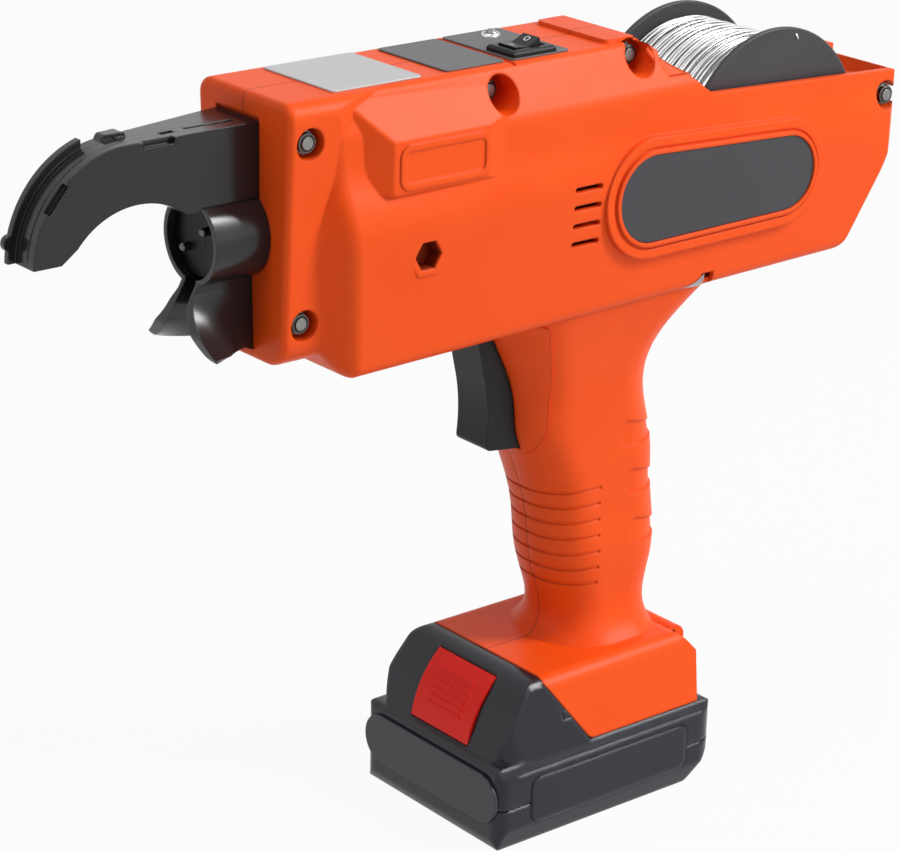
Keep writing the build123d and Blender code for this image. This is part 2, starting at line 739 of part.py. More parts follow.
def housing_halves():
    outer = housing_outer()
    front = front_space()
    pocket = along_x(foot_face(WALL, 20), FOOT_REAR_X + WALL, 60)
    shell = outer - front - spool_bay() - grip_space() - (pocket & block(-60, 60, -40, 40, 0, 53))
    shell = shell + fittings(outer, front) + trigger_lip()
    shell = shell - holes() - grip_cuts()
    left = shell & block(-140, 140, 0, 60, 0, 300)
    right = shell & block(-140, 140, -60, 0, 0, 300)
    hexagon = RegularPolygon(4.5, 6, major_radius=False)
    cup = RegularPolygon(6.5, 6, major_radius=False)
    left += along_y(Pos(77.8, 212.7) * cup, BELLY_HALF - 9, BELLY_HALF - 1)
    left -= along_y(Pos(77.8, 212.7) * hexagon, BELLY_HALF - 7, 40)
    left -= block(BULK_X - 16.5, BULK_X - 11, KEEL_HALF - 2, 40, 178, 184.5)
    right += block(REAR_X - 1, REAR_X + 4, -10, -3, BAY_TOP_Z - 6, BAY_TOP_Z + 2.5)
    return left, right


def bolts():
    found = []
    for x, z, seat, bore in BOLTS:
        head = rod_y(BOLT_HEAD_R, x, z, -seat - BOLT_HEAD, -seat)
        hexagon = Pos(x, z) * RegularPolygon(1.5, 6, major_radius=False)
        socket = along_y(hexagon, -seat - BOLT_HEAD, -seat - 2)
        found.append(head + rod_y(BOLT_R, x, z, -seat, seat + NUT_HEIGHT + 0.4) - socket)
    return group(found)


def nuts():
    found = []
    for x, z, seat, bore in BOLTS:
        flats = Pos(x, z) * Rot(0, 0, 30) * RegularPolygon(NUT_FLATS / 2, 6, major_radius=False)
        nut = along_y(flats, seat, seat + NUT_HEIGHT - 1.6)
        nut += rod_y(NUT_FLATS / 2 - 0.4, x, z, seat, seat + NUT_HEIGHT)
        found.append(nut - rod_y(BOLT_R, x, z, seat, seat + NUT_HEIGHT))
    return group(found)


def screws():
    found = []
    for x, z in HANDLE_SCREWS:
        screw = rod_y(SCREW_HEAD_R, x, z, -15.5, -13) + rod_y(SCREW_R, x, z, -13, 9)
        found.append(screw - block(x - 2, x + 2, -16, -14.6, z - 0.4, z + 0.4))
    return group(found)


# Top fittings
def top_plate(x0, x1, half):
    return along_z(outline(mirrored_plan([(x0, half, 1.5), (x1, half, 1.5)])), TOP_Z, TOP_Z + PLATE)


def switch_plate():
    plate = top_plate(12.4, 36, 17.8)
    plate -= rocker_block(0, 260, 270)
    return plate - rod_z(LAMP_R, LAMP_X, LAMP_Y, 260, 270)


def rocker_frame():
    well = ROCKER_HALF - 0.8
    side = ROCKER_WIDE - 1.1
    frame = rocker_block(ROCKER_FRAME, ROCKER_BASE_Z, ROCKER_BASE_Z + 2)
    frame = chamfer(frame.faces().sort_by(Axis.Z)[-1].edges(), 0.8)
    frame += rocker_block(0, ROCKER_LOW_Z, ROCKER_BASE_Z)
    frame -= block(ROCKER_X - well, ROCKER_X + well, ROCKER_Y - side, ROCKER_Y + side, ROCKER_LOW_Z + 5, 275)
    reach = side + 0.8
    return frame - rod_y(ROCKER_PIN_R, ROCKER_X, ROCKER_PIVOT_Z, ROCKER_Y - reach, ROCKER_Y + reach)


def rocker_paddle():
    reach = ROCKER_HALF - 2
    side = ROCKER_WIDE - 1.4
    top = [(-reach, 6.1), (0, 4.6), (reach, 6.1)]
    face = outline(top + [(reach, 3.4), (2.2, -1.6, 1), (-2.2, -1.6, 1), (-reach, 3.4)])
    paddle = Rot(0, ROCKER_TILT, 0) * along_y(face, ROCKER_Y - side, ROCKER_Y + side)
    paddle = Pos(ROCKER_X, 0, ROCKER_PIVOT_Z) * paddle
    pin = rod_y(ROCKER_PIN_R - RUN, ROCKER_X, ROCKER_PIVOT_Z, ROCKER_Y - side - 0.9, ROCKER_Y + side + 0.9)
    return paddle + pin


def status_lamp():
    lamp = rod_z(LAMP_R, LAMP_X, LAMP_Y, CEILING_Z - 4, TOP_Z + PLATE)
    dome = Pos(LAMP_X, LAMP_Y, TOP_Z + PLATE) * Sphere(LAMP_R)
    return lamp + (dome & block(LAMP_X - 5, LAMP_X + 5, LAMP_Y - 5, LAMP_Y + 5, TOP_Z + PLATE, TOP_Z + 5))


def control_board():
    board = block(40, 90, -19, 19, BOARD_Z, BOARD_Z + BOARD_THICK)
    for x, y in BOARD_POSTS:
        board -= rod_z(1.2, x, y, BOARD_Z - 1, BOARD_Z + 3)
    board += block(56, 68, -8, 4, BOARD_Z + BOARD_THICK, BOARD_Z + BOARD_THICK + 3)
    board += block(72, 82, 6, 14, BOARD_Z + BOARD_THICK, BOARD_Z + BOARD_THICK + 6)
    return board + rod_z(4, 46, -6, BOARD_Z + BOARD_THICK, BOARD_Z + BOARD_THICK + 8)


# Trigger
def trigger():
    side = [
        (TRIGGER_FRONT_X + 6.1, TRIGGER_TOP_Z),
        (TRIGGER_FRONT_X - 1.4, 146, 60),
        (TRIGGER_FRONT_X, TRIGGER_LOW_Z, 2),
        (TRIGGER_REAR_X, TRIGGER_LOW_Z - TRIGGER_DROP),
        (TRIGGER_REAR_X, TRIGGER_TOP_Z),
    ]
    body = along_y(outline(side), -TRIGGER_HALF, TRIGGER_HALF)
    stop_half = TRIGGER_HALF + 2.5
    body += block(12.5, 15, -stop_half, stop_half, TRIGGER_LOW_Z - 1, TRIGGER_LOW_Z + 8)
    return body - rod_x(TRIGGER_BORE_R, 0, TRIGGER_SPRING_Z, TRIGGER_REAR_X, TRIGGER_BORE_X)


def trigger_switch():
    body = block(SWITCH_X - 22, SWITCH_X, -8, 8, SHELF_Z, SHELF_Z + 24)
    body -= rod_y(1.5, SWITCH_X - 16, SHELF_Z + 5, -8, 8)
    return body - rod_y(1.5, SWITCH_X - 5, SHELF_Z + 20, -8, 8)


def trigger_spring():
    length = TRIGGER_BORE_X - SWITCH_X
    spring = coil("trigger_spring", 2.4, 1.9, 8, 0.6, 0.9, length)
    return Pos(SWITCH_X, 0, TRIGGER_SPRING_Z) * Rot(0, 90, 0) * spring


# Guide arm
def arm_face():
    """Side view of the hook: straight root, bend and blunt tip."""
    arm_z = ARM_TOP_Z - ARM_OUT_R
    tip_x = ARM_BEND_X + sqrt(ARM_OUT_R**2 - (ARM_TIP_Z - arm_z) ** 2)
    root_x = ARM_IN_X - sqrt(ARM_IN_R**2 - (ARM_LOW_Z - ARM_IN_Z) ** 2)
    lip_z = ARM_TIP_Z + 4
    lip_x = ARM_IN_X + sqrt(ARM_IN_R**2 - (lip_z - ARM_IN_Z) ** 2)
    bend = (ARM_BEND_X + ARM_OUT_R * sin(pi / 4), arm_z + ARM_OUT_R * cos(pi / 4))
    edges = Polyline((root_x, ARM_LOW_Z), (ARM_TANG_X, ARM_LOW_Z), (ARM_TANG_X, ARM_TOP_Z))
    edges += Line((ARM_TANG_X, ARM_TOP_Z), (ARM_BEND_X, ARM_TOP_Z))
    edges += ThreePointArc((ARM_BEND_X, ARM_TOP_Z), bend, (tip_x, ARM_TIP_Z))
    edges += Polyline((tip_x, ARM_TIP_Z), (lip_x + 5.5, ARM_TIP_Z), (lip_x, lip_z))
    edges += ThreePointArc((lip_x, lip_z), (ARM_IN_X, ARM_IN_Z + ARM_IN_R), (root_x, ARM_LOW_Z))
    return make_face(edges)


def arm_layer(y0, y1):
    x, z, seat, bore = BOLTS[0]
    layer = along_y(arm_face(), y0, y1)
    layer -= rod_x(JAW_COLLAR_R + 0.1, 0, TWIST_Z, ARM_TANG_X, FRONT_X)
    return layer - rod_x(JAW_R + 0.1, 0, TWIST_Z, FRONT_X, JAW_X + 1) - rod_y(BOLT_HOLE, x, z, y0, y1)


def arm_core():
    core = arm_layer(ARM_CORE_RIGHT, ARM_CORE_LEFT)
    core -= block(130, 148, 0.6, 2.2, ARM_TOP_Z - 3, ARM_TOP_Z + 1)
    return core - block(152, 157, 0.6, 3.2, ARM_TOP_Z - 3, ARM_TOP_Z + 1)


def arm_left_cheek():
    cheek = arm_layer(ARM_CORE_LEFT, ARM_LEFT)
    cheek -= block(155, 166, ARM_LEFT - 2, ARM_LEFT, ARM_TOP_Z - 2, ARM_TOP_Z + 1)
    step = block(-5, 5, ARM_LEFT - 2, ARM_LEFT, ARM_OUT_R - 2, ARM_OUT_R + 2)
    return cheek - Pos(ARM_BEND_X, 0, ARM_TOP_Z - ARM_OUT_R) * Rot(0, 50, 0) * step


def wire_channel():
    """Bore that leads the wire along the arm and out of its tip."""
    path = Line((CUTTER_X, WIRE_Y, WIRE_Z), (ARM_IN_X, WIRE_Y, WIRE_Z))
    bend_r = WIRE_Z - 218
    turn = radians(15)
    end = (ARM_IN_X + bend_r * cos(-turn), WIRE_Y, 218 + bend_r * sin(-turn))
    path += TangentArc((ARM_IN_X, WIRE_Y, WIRE_Z), end, tangent=(1, 0, 0))
    return sweep(Plane((CUTTER_X, WIRE_Y, WIRE_Z), z_dir=(1, 0, 0)) * Circle(CHANNEL_R), path=path)


def arm_right_cheek():
    arm_z = ARM_TOP_Z - ARM_OUT_R
    cheek = arm_layer(ARM_RIGHT, ARM_CORE_RIGHT)
    rim = rod_y(ARM_OUT_R + 2.5, ARM_BEND_X, arm_z, ARM_RIGHT, ARM_CORE_RIGHT - 2)
    rim -= rod_y(ARM_OUT_R - 4, ARM_BEND_X, arm_z, ARM_RIGHT, ARM_CORE_RIGHT)
    cheek += rim & block(181, 230, ARM_RIGHT, 0, ARM_TIP_Z, 300)
    cheek += rod_y(2.5, ARM_BEND_X + ARM_OUT_R + 1.2, 231, ARM_RIGHT, ARM_CORE_RIGHT - 2)
    lug_z = ARM_TOP_Z + 1.5
    lug = [(165, ARM_TOP_Z - 2), (167, lug_z, 1.5), (174, lug_z, 1.5), (177, ARM_TOP_Z - 4)]
    cheek += along_y(outline(lug), ARM_RIGHT, ARM_CORE_RIGHT - 1)
    cheek -= rod_y(1.2, 171, ARM_TOP_Z - 1, ARM_RIGHT, 0)
    plan = [(100, ARM_RIGHT), (FRONT_X, ARM_RIGHT), (ARM_BEND_X, -5.2), (220, -3.8), (220, 5), (100, 5)]
    return (cheek & along_z(outline(plan), 200, 280)) - wire_channel()


# Lower jaw
def lip_face(end):
    """One lip across the tool: a straight neck that curves outward to its lower end."""
    out = JAW_SLOT + JAW_WALL
    top_z = TWIST_Z - 9
    inner = TangentArc((JAW_SLOT, JAW_NECK_Z), end, tangent=(0, -1))
    heading = inner % 1
    outer_end = Vector(*end) + Vector(-heading.Y, heading.X) * JAW_WALL
    outer = TangentArc((out, JAW_NECK_Z), outer_end, tangent=(end[0] - JAW_SLOT, -40))
    neck = Polyline((JAW_SLOT, JAW_NECK_Z), (JAW_SLOT, top_z), (out, top_z), (out, JAW_NECK_Z))
    return make_face(inner + neck + outer + Line(inner @ 1, outer @ 1))


def lower_jaw():
    jaw = rod_x(JAW_R, 0, TWIST_Z, JAW_SPIGOT_X, JAW_X)
    jaw += rod_x(JAW_COLLAR_R, 0, TWIST_Z, FRONT_X - 2 * WALL, FRONT_X - WALL)
    rear_face = Plane.YZ.offset(FRONT_X) * lip_face(LIP_REAR)
    front_face = Plane.YZ.offset(LIP_FRONT_X) * lip_face(LIP_FRONT)
    side = [
        (FRONT_X, 216),
        (JAW_X, 216),
        (JAW_X, 209, 2),
        (JAW_X + 3.3, 203, 5),
        (JAW_X + 5, 195, 4),
        (JAW_X + 3, 187.6, 3),
        (136, 187.8, 20),
        (130.5, 187.4, 4),
        (FRONT_X, 185),
    ]
    lip = loft([rear_face, front_face], ruled=True) & along_y(outline(side), -30, 30)
    jaw += both(lip)
    jaw -= rod_x(JAW_IN_R, 0, TWIST_Z, FRONT_X + JAW_BACK, 160)
    jaw -= block(FRONT_X + JAW_BACK, 160, -JAW_SLOT, JAW_SLOT, 200, TWIST_Z)
    jaw -= rod_x(FRONT_BEARING_R, 0, TWIST_Z, JAW_SPIGOT_X, JAW_SPIGOT_X + BEARING_WIDTH)
    return jaw - rod_x(SPINDLE_R + 1, 0, TWIST_Z, JAW_SPIGOT_X, 130)


# Twisting drive
def at_twist(face, x0, x1):
    return Pos(0, 0, TWIST_Z) * along_x(face, x0, x1)


def twist_pin_spots():
    turn = TWIST_PIN_TURN
    y = TWIST_PIN_ORBIT * cos(turn)
    z = TWIST_PIN_ORBIT * sin(turn)
    return [(y, TWIST_Z + z), (-y, TWIST_Z - z)]


def twist_head():
    head = rod_x(HEAD_R, 0, TWIST_Z, HEAD_X, HEAD_X + HEAD_WIDTH)
    head -= rod_x(SPINDLE_R, 0, TWIST_Z, HEAD_X, HEAD_X + HEAD_WIDTH)
    for y, z in twist_pin_spots():
        head -= rod_x(TWIST_PIN_R, y, z, HEAD_X + 0.5, HEAD_X + HEAD_WIDTH)
    return head


def twist_pins():
    found = []
    for y, z in twist_pin_spots():
        pin = rod_x(TWIST_PIN_R, y, z, HEAD_X + 0.5, TWIST_PIN_END_X)
        found.append(chamfer(pin.faces().sort_by(Axis.X)[-1].edges(), 0.4))
    return group(found)


def bearing(outer_r, inner_r, x0):
    x1 = x0 + BEARING_WIDTH
    ring = rod_x(outer_r, 0, TWIST_Z, x0, x1) - rod_x(inner_r, 0, TWIST_Z, x0, x1)
    groove = rod_x(outer_r - 1.2, 0, TWIST_Z, x1 - 0.6, x1)
    return ring - (groove - rod_x(inner_r + 1.2, 0, TWIST_Z, x0, x1))


def gearbox_case():
    ring_end = PLANET_X + PLANET_WIDTH
    root_r = TWIST_MODULE * (RING_TEETH / 2 + 1.2)
    case = rod_x(GEARBOX_R, 0, TWIST_Z, GEARBOX_X, GEARBOX_END_X)
    case -= rod_x(root_r, 0, TWIST_Z, GEARBOX_X, PLANET_X - 1)
    teeth = Rot(0, 0, 180 / RING_TEETH) * gear_face(RING_TEETH, TWIST_MODULE, 1, 0.8, -BACKLASH)
    case -= at_twist(teeth, PLANET_X - 1, ring_end)
    case -= rod_x(CARRIER_R + 0.5, 0, TWIST_Z, ring_end, CARRIER_X + CARRIER_WIDTH + 1)
    case -= rod_x(SPINDLE_R + 1, 0, TWIST_Z, ring_end, GEARBOX_END_X)
    return case - rod_x(BOX_BEARING_R, 0, TWIST_Z, GEARBOX_END_X - BEARING_WIDTH, GEARBOX_END_X)


def planet_carrier():
    carrier = rod_x(CARRIER_R, 0, TWIST_Z, CARRIER_X, CARRIER_X + CARRIER_WIDTH)
    carrier -= rod_x(SPINDLE_R, 0, TWIST_Z, CARRIER_X, CARRIER_X + CARRIER_WIDTH)
    for turn in PLANET_TURNS:
        y = PLANET_ORBIT * cos(radians(turn))
        z = TWIST_Z + PLANET_ORBIT * sin(radians(turn))
        carrier += rod_x(PLANET_PIN_R, y, z, PLANET_X, CARRIER_X + 1)
    return carrier


def planet(turn):
    face = Rot(0, 0, 180 / PLANET_TEETH) * gear_face(PLANET_TEETH, TWIST_MODULE, 0.8, 1, BACKLASH)
    face -= Circle(PLANET_PIN_R + RUN)
    return at_twist(Rot(0, 0, turn) * Pos(PLANET_ORBIT, 0) * face, PLANET_X, PLANET_X + PLANET_WIDTH)


def sun_pinion():
    """Sun gear cut on the end of the motor shaft."""
    face = gear_face(SUN_TEETH, TWIST_MODULE, 0.8, 1, BACKLASH)
    pinion = at_twist(face, PLANET_X, PLANET_X + PLANET_WIDTH)
    return pinion + rod_x(MOTOR_SHAFT_R, 0, TWIST_Z, GEARBOX_X - 4, PLANET_X)


def twist_motor():
    motor = rod_x(TWIST_MOTOR_R, 0, TWIST_Z, TWIST_MOTOR_X, GEARBOX_X)
    motor -= rod_x(MOTOR_SHAFT_R + RUN, 0, TWIST_Z, GEARBOX_X - 4, GEARBOX_X)
    return motor - both(block(TWIST_MOTOR_X, TWIST_MOTOR_X + 3, 6, 9, TWIST_Z - 2, TWIST_Z + 2))


# Wire feed
def feed_frame():
    side = [
        (FRAME_POSTS[1][0] - 3.4, FRAME_POSTS[1][1] - 3.4),
        (FRAME_POSTS[0][0] + 3.4, FRAME_POSTS[1][1] - 3.4),
        (FRAME_POSTS[0][0] + 3.4, TWIST_Z + 20),
        (LEVER_X + 4, TWIST_Z + 23),
        (LEVER_X + 4, LEVER_Z + 4, 3),
        (LEVER_X - 5, LEVER_Z + 4, 3),
        (FEED_X + 6, IDLER_Z - 3),
        (BULK_X + 10, IDLER_Z - 3),
        (BULK_X + 5, FEED_Z - 10),
    ]
    frame = along_y(outline(side), 0, FRAME_THICK)
    frame -= rod_y(FEED_SHAFT_R + RUN, FEED_X, FEED_Z, 0, FRAME_THICK)
    frame -= rod_y(LEVER_PIN_R, LEVER_X, LEVER_Z, 0, FRAME_THICK)
    return frame - rod_y(MOTOR_SHAFT_R + 1, FEED_MOTOR_X, FEED_MOTOR_Z, 0, FRAME_THICK)


def feed_motor():
    motor = rod_y(FEED_MOTOR_R, FEED_MOTOR_X, FEED_MOTOR_Z, -24, 0)
    return motor - rod_y(MOTOR_SHAFT_R + RUN, FEED_MOTOR_X, FEED_MOTOR_Z, -4, 0)


def feed_gear_end():
    return FEED_GEAR_Y + FEED_GEAR_WIDTH


def feed_pinion():
    face = Rot(0, 0, 90 - FEED_LEAN) * gear_face(FEED_PINION_TEETH, FEED_MODULE, 0.8, 1, BACKLASH)
    pinion = Pos(FEED_MOTOR_X, 0, FEED_MOTOR_Z) * along_y(face, FEED_GEAR_Y, feed_gear_end())
    return pinion + rod_y(MOTOR_SHAFT_R, FEED_MOTOR_X, FEED_MOTOR_Z, -4, feed_gear_end())


def feed_gear():
    mesh_turn = 270 - FEED_LEAN + 180 / FEED_TEETH
    face = Rot(0, 0, mesh_turn) * gear_face(FEED_TEETH, FEED_MODULE, 0.8, 1, BACKLASH)
    face -= Circle(FEED_SHAFT_R)
    return Pos(FEED_X, 0, FEED_Z) * along_y(face, FEED_GEAR_Y, feed_gear_end())


def drive_shaft():
    return rod_y(FEED_SHAFT_R, FEED_X, FEED_Z, WIRE_Y - WHEEL_WIDTH / 2, feed_gear_end() + 1)


def drive_wheel():
    wheel = rod_y(DRIVE_WHEEL_R, FEED_X, FEED_Z, WIRE_Y - WHEEL_WIDTH / 2, WIRE_Y + WHEEL_WIDTH / 2)
    return wheel - rod_y(FEED_SHAFT_R, FEED_X, FEED_Z, -10, 10)


def idler_wheel():
    wheel = rod_y(IDLER_R, FEED_X, IDLER_Z, WIRE_Y - WHEEL_WIDTH / 2, WIRE_Y + WHEEL_WIDTH / 2)
    return wheel - rod_y(IDLER_PIN_R + RUN, FEED_X, IDLER_Z, -10, 10)


def idler_lever():
    side = [
        (FEED_X - 3.5, IDLER_Z - 3, 2),
        (LEVER_X + 3.5, LEVER_Z - 3.5, 3),
        (LEVER_X + 3.5, LEVER_Z + 3.5, 3),
        (LEVER_X - 3, LEVER_Z + 3.5, 2),
        (LEVER_X - 6, LEVER_TOP_Z),
        (FEED_X - 3.5, LEVER_TOP_Z),
    ]
    lever = along_y(outline(side), LEVER_RIGHT, LEVER_LEFT)
    lever += rod_y(IDLER_PIN_R, FEED_X, IDLER_Z, LEVER_LEFT, WIRE_Y + WHEEL_WIDTH / 2)
    return lever - rod_y(LEVER_PIN_R + RUN, LEVER_X, LEVER_Z, LEVER_RIGHT, LEVER_LEFT)


def lever_pin():
    return rod_y(LEVER_PIN_R, LEVER_X, LEVER_Z, LEVER_RIGHT, FRAME_THICK)


def pinch_spring():
    spring = coil("pinch_spring", 1.1, 1.1, 2, 0.4, 0.6, CEILING_Z - LEVER_TOP_Z)
    return Pos(FEED_X + 1, (LEVER_LEFT + LEVER_RIGHT) / 2, LEVER_TOP_Z) * spring


def inlet_bush():
    bush = rod_x(BUSH_R, WIRE_Y, WIRE_Z, BULK_X, -14)
    return bush - rod_x(CHANNEL_R, WIRE_Y, WIRE_Z, BULK_X, -14)


def guide_tube():
    tube = rod_x(TUBE_R, WIRE_Y, WIRE_Z, FEED_X + 9, CUTTER_X)
    return tube - rod_x(CHANNEL_R, WIRE_Y, WIRE_Z, FEED_X + 9, CUTTER_X)


def cutter_block():
    body = block(CUTTER_X, CUTTER_X + CUTTER_WIDTH, -9, 3.4, CUTTER_LOW_Z, CUTTER_TOP_Z)
    body -= rod_y(DRUM_R + RUN, CUTTER_X + CUTTER_WIDTH / 2, WIRE_Z, -9, 3.4)
    return body - rod_x(CHANNEL_R, WIRE_Y, WIRE_Z, CUTTER_X, CUTTER_X + CUTTER_WIDTH)


def cutter_drum():
    x = CUTTER_X + CUTTER_WIDTH / 2
    low_z = WIRE_Z - 9.4
    crank = outline([(x - 3, WIRE_Z), (x - 2, low_z, 1.5), (x + 2, low_z, 1.5), (x + 3, WIRE_Z)])
    drum = rod_y(DRUM_R, x, WIRE_Z, -9, 8) + along_y(crank, 4, 7)
    return drum - rod_x(CHANNEL_R, WIRE_Y, WIRE_Z, CUTTER_X, CUTTER_X + CUTTER_WIDTH)


# Spool
def wire_spool():
    spool = rod_y(HUB_R, SPOOL_X, SPOOL_Z, -SPOOL_HALF, SPOOL_HALF)
    disc = rod_y(SPOOL_R, SPOOL_X, SPOOL_Z, SPOOL_IN, SPOOL_HALF)
    disc = fillet(disc.edges().filter_by(GeomType.CIRCLE), 0.7)
    spool += both(disc)
    return spool - rod_y(AXLE_R + RUN, SPOOL_X, SPOOL_Z, -SPOOL_HALF, SPOOL_HALF)


def wire_core():
    core = rod_y(WOUND_R, SPOOL_X, SPOOL_Z, -SPOOL_IN, SPOOL_IN)
    return core - rod_y(HUB_R, SPOOL_X, SPOOL_Z, -SPOOL_IN, SPOOL_IN)


def wire_winding():
    radius = WOUND_R + WINDING_WIRE / 2 + 0.1
    length = 2 * SPOOL_IN
    coils = coil("wire_winding", radius, WINDING_PITCH, WINDING_TURNS, WINDING_WIRE, WINDING_BEND, length)
    return Pos(SPOOL_X, SPOOL_IN, SPOOL_Z) * Rot(90, 0, 0) * coils


def spool_axle():
    return rod_y(AXLE_R, SPOOL_X, SPOOL_Z, -BELLY_HALF + 1.4, BELLY_HALF - 1.4)


# Battery
def battery_block(inset):
    side = [
        (BATTERY_REAR_X + 12.4, 0, 3),
        (BATTERY_REAR_X, SEAM_Z, 2),
        (BATTERY_REAR_X, 22, 3),
        (BATTERY_REAR_X + 3, LEDGE_Z, 2),
        (BATTERY_FRONT_X - 0.5, LEDGE_Z, 2),
        (BATTERY_FRONT_X, 24, 2),
        (BATTERY_FRONT_X, 3, 2),
        (BATTERY_FRONT_X - 1, 0, 1),
    ]
    section = [
        (BATTERY_HALF - 4.4, LEDGE_Z + 3),
        (BATTERY_HALF, 26, 3),
        (BATTERY_HALF, 7, 3),
        (BATTERY_HALF - 3, -3),
    ]
    plan = [(BATTERY_REAR_X, BATTERY_HALF, 8), (BATTERY_FRONT_X, BATTERY_HALF, 4.5)]
    body = along_y(inward(outline(side), inset), -50, 50)
    body &= along_x(inward(outline(mirrored(section)), inset), -60, 60)
    return body & along_z(inward(outline(mirrored_plan(plan)), inset), -5, 60)


def button_point(along, deep):
    """Point on the sloped front: distance down the slope, depth below it."""
    x = BUTTON_TOP[0] + along * sin(BUTTON_LEAN) - deep * cos(BUTTON_LEAN)
    return x, BUTTON_TOP[1] - along * cos(BUTTON_LEAN) - deep * sin(BUTTON_LEAN)


def button_slab(room, front, back, half):
    corners = [(-room, front), (BUTTON_LENGTH + room, front), (BUTTON_LENGTH + room, back), (-room, back)]
    return along_y(outline([button_point(along, deep) for along, deep in corners]), -half, half)


def label_face(grow):
    corners = [(-36, 7.2), (-36, 23.8), (34.5, 23.8), (34.5, 7.2)]
    return inward(outline([(x, z, 3.5) for x, z in corners]), -grow)


def front_label_face(grow):
    return inward(outline(mirrored([(35.4, 8.6, 8.7), (35.4, 26.4, 8.7)])), -grow)


def tower_grooves():
    low_half = foot_half(RAIL_Z) - WALL - RAIL_DEPTH - GAP
    top_z = RAIL_Z + RAIL_HEIGHT + GAP
    groove = block(TOWER_REAR_X - 1, RAIL_FRONT_X + 0.6, low_half, 40, RAIL_Z - GAP, top_z)
    return both(groove)


def battery_shells():
    whole = battery_block(0)
    skin = whole - battery_block(0.5)
    seam = skin & block(-60, 60, -50, 50, SEAM_Z, SEAM_Z + 0.6)
    upper_line = skin & block(-46, 40, -50, 50, LINE_Z, LINE_Z + 0.6)
    hood_side = [
        (FOOT_FRONT_X + GAP, FOOT_TOP_Z - 0.2),
        (31.6, FOOT_TOP_Z - 0.2, 9),
        (40.2, 43.3, 30),
        (46.2, LEDGE_Z - 1),
        (FOOT_FRONT_X - 19.4, LEDGE_Z - 1),
        (FOOT_FRONT_X - 18.3 + GAP, FOOT_LOW_Z),
        (FOOT_FRONT_X + GAP, FOOT_TOP_Z - 1.8),
    ]
    hood = along_y(outline(hood_side), -40, 40) & along_x(foot_face(0, LEDGE_Z - 1), -60, 60)
    hood &= along_z(outline(mirrored_plan([(-10, 50), (5, 36), (47, 33.5, 11)])), 20, 60)
    tower_face = foot_face(WALL + GAP, LEDGE_Z - 1)
    tower = along_x(tower_face, TOWER_REAR_X, FOOT_FRONT_X + 2)
    tower_hollow = along_x(inward(tower_face, BATTERY_WALL), TOWER_REAR_X + BATTERY_WALL, 14)
    hollow = battery_block(BATTERY_WALL) + (tower_hollow & block(-60, 60, -40, 40, 25, 60))
    pocket_wall = button_slab(2, 3, BUTTON_POCKET + 2, BUTTON_HALF + 2) & (whole + hood)
    upper = (whole & block(-60, 60, -50, 50, SEAM_Z, 40)) + hood + tower - hollow + pocket_wall
    upper -= button_slab(GAP, -6, BUTTON_POCKET, BUTTON_HALF + GAP)
    upper -= tower_grooves()
    for y in (-6, 6):
        upper -= block(TOWER_REAR_X - 1, BLADE_X + 1, y - 0.8, y + 0.8, 36, 46)
    lower = (whole & block(-60, 60, -50, 50, -5, SEAM_Z)) - hollow
    for y in (-20, 20):
        cradle = block(-31, 31, y - 1.5, y + 1.5, BATTERY_WALL - 0.5, CELL_Z - 4)
        for cell in battery_cells().solids():
            cradle -= cell
        lower += cradle
    labels = both(along_y(label_face(0.15), BATTERY_HALF - 0.6, 60))
    front_label = along_x(front_label_face(0.15), BATTERY_FRONT_X - 0.4, 60)
    for x, y in BATTERY_SCREWS:
        upper += rod_z(2.8, x, y, SEAM_Z, LEDGE_Z - 1)
        lower += rod_z(3.4, x, y, 1, SEAM_Z)
    for x, y in BATTERY_SCREWS:
        upper -= rod_z(1.25, x, y, SEAM_Z, SEAM_Z + 9)
        lower -= rod_z(1.25, x, y, 1, SEAM_Z) + rod_z(2.6, x, y, -1, 4)
    return upper - [seam, upper_line, labels, front_label], lower - labels - front_label


def battery_screws():
    found = []
    for x, y in BATTERY_SCREWS:
        screw = rod_z(1.25, x, y, 4, SEAM_Z + 8) + rod_z(2.3, x, y, 2.2, 4)
        found.append(screw - block(x - 1.6, x + 1.6, y - 0.4, y + 0.4, 2, 3))
    return group(found)


def battery_cells():
    half = CELL_LENGTH / 2
    return group([rod_y(CELL_R, CELL_PITCH * number, CELL_Z, -half, half) for number in (-1, 0, 1)])


def battery_side_plates():
    plate = along_y(label_face(0), BATTERY_HALF - 0.6, BATTERY_HALF + 0.2)
    return group([plate, flip(plate)])


def battery_front_plate():
    return along_x(front_label_face(0), BATTERY_FRONT_X - 0.4, BATTERY_FRONT_X + 1)


def release_button():
    button = button_slab(0, -BUTTON_PROUD, BUTTON_DEEP, BUTTON_HALF)
    middle = BUTTON_LENGTH / 2
    ends = [button_point(along, -BUTTON_PROUD) for along in (0, BUTTON_LENGTH)]
    crest = button_point(middle, -BUTTON_PROUD - BUTTON_BULGE)
    bulge = make_face(ThreePointArc(ends[0], crest, ends[1]) + Line(ends[1], ends[0]))
    button += along_y(bulge, -BUTTON_HALF, BUTTON_HALF)
    for along in (5, 7.5, 10, 12.5, 15, 17.5):
        rise = BUTTON_BULGE * (1 - ((along + 0.5 - middle) / middle) ** 2)
        top = -BUTTON_PROUD - BUTTON_RIB - rise
        ridge = [(along, top), (along + 1, top), (along + 1, 0), (along, 0)]
        button += along_y(outline([button_point(a, deep) for a, deep in ridge]), -8.5, 8.5)
    return button - latch_rod(BUTTON_SPRING_DEEP, BUTTON_DEEP + 1, 3)


def latch_place(deep):
    x, z = button_point(BUTTON_LENGTH / 2, deep)
    return Plane((x, 0, z), x_dir=(0, 1, 0), z_dir=(-cos(BUTTON_LEAN), 0, -sin(BUTTON_LEAN)))


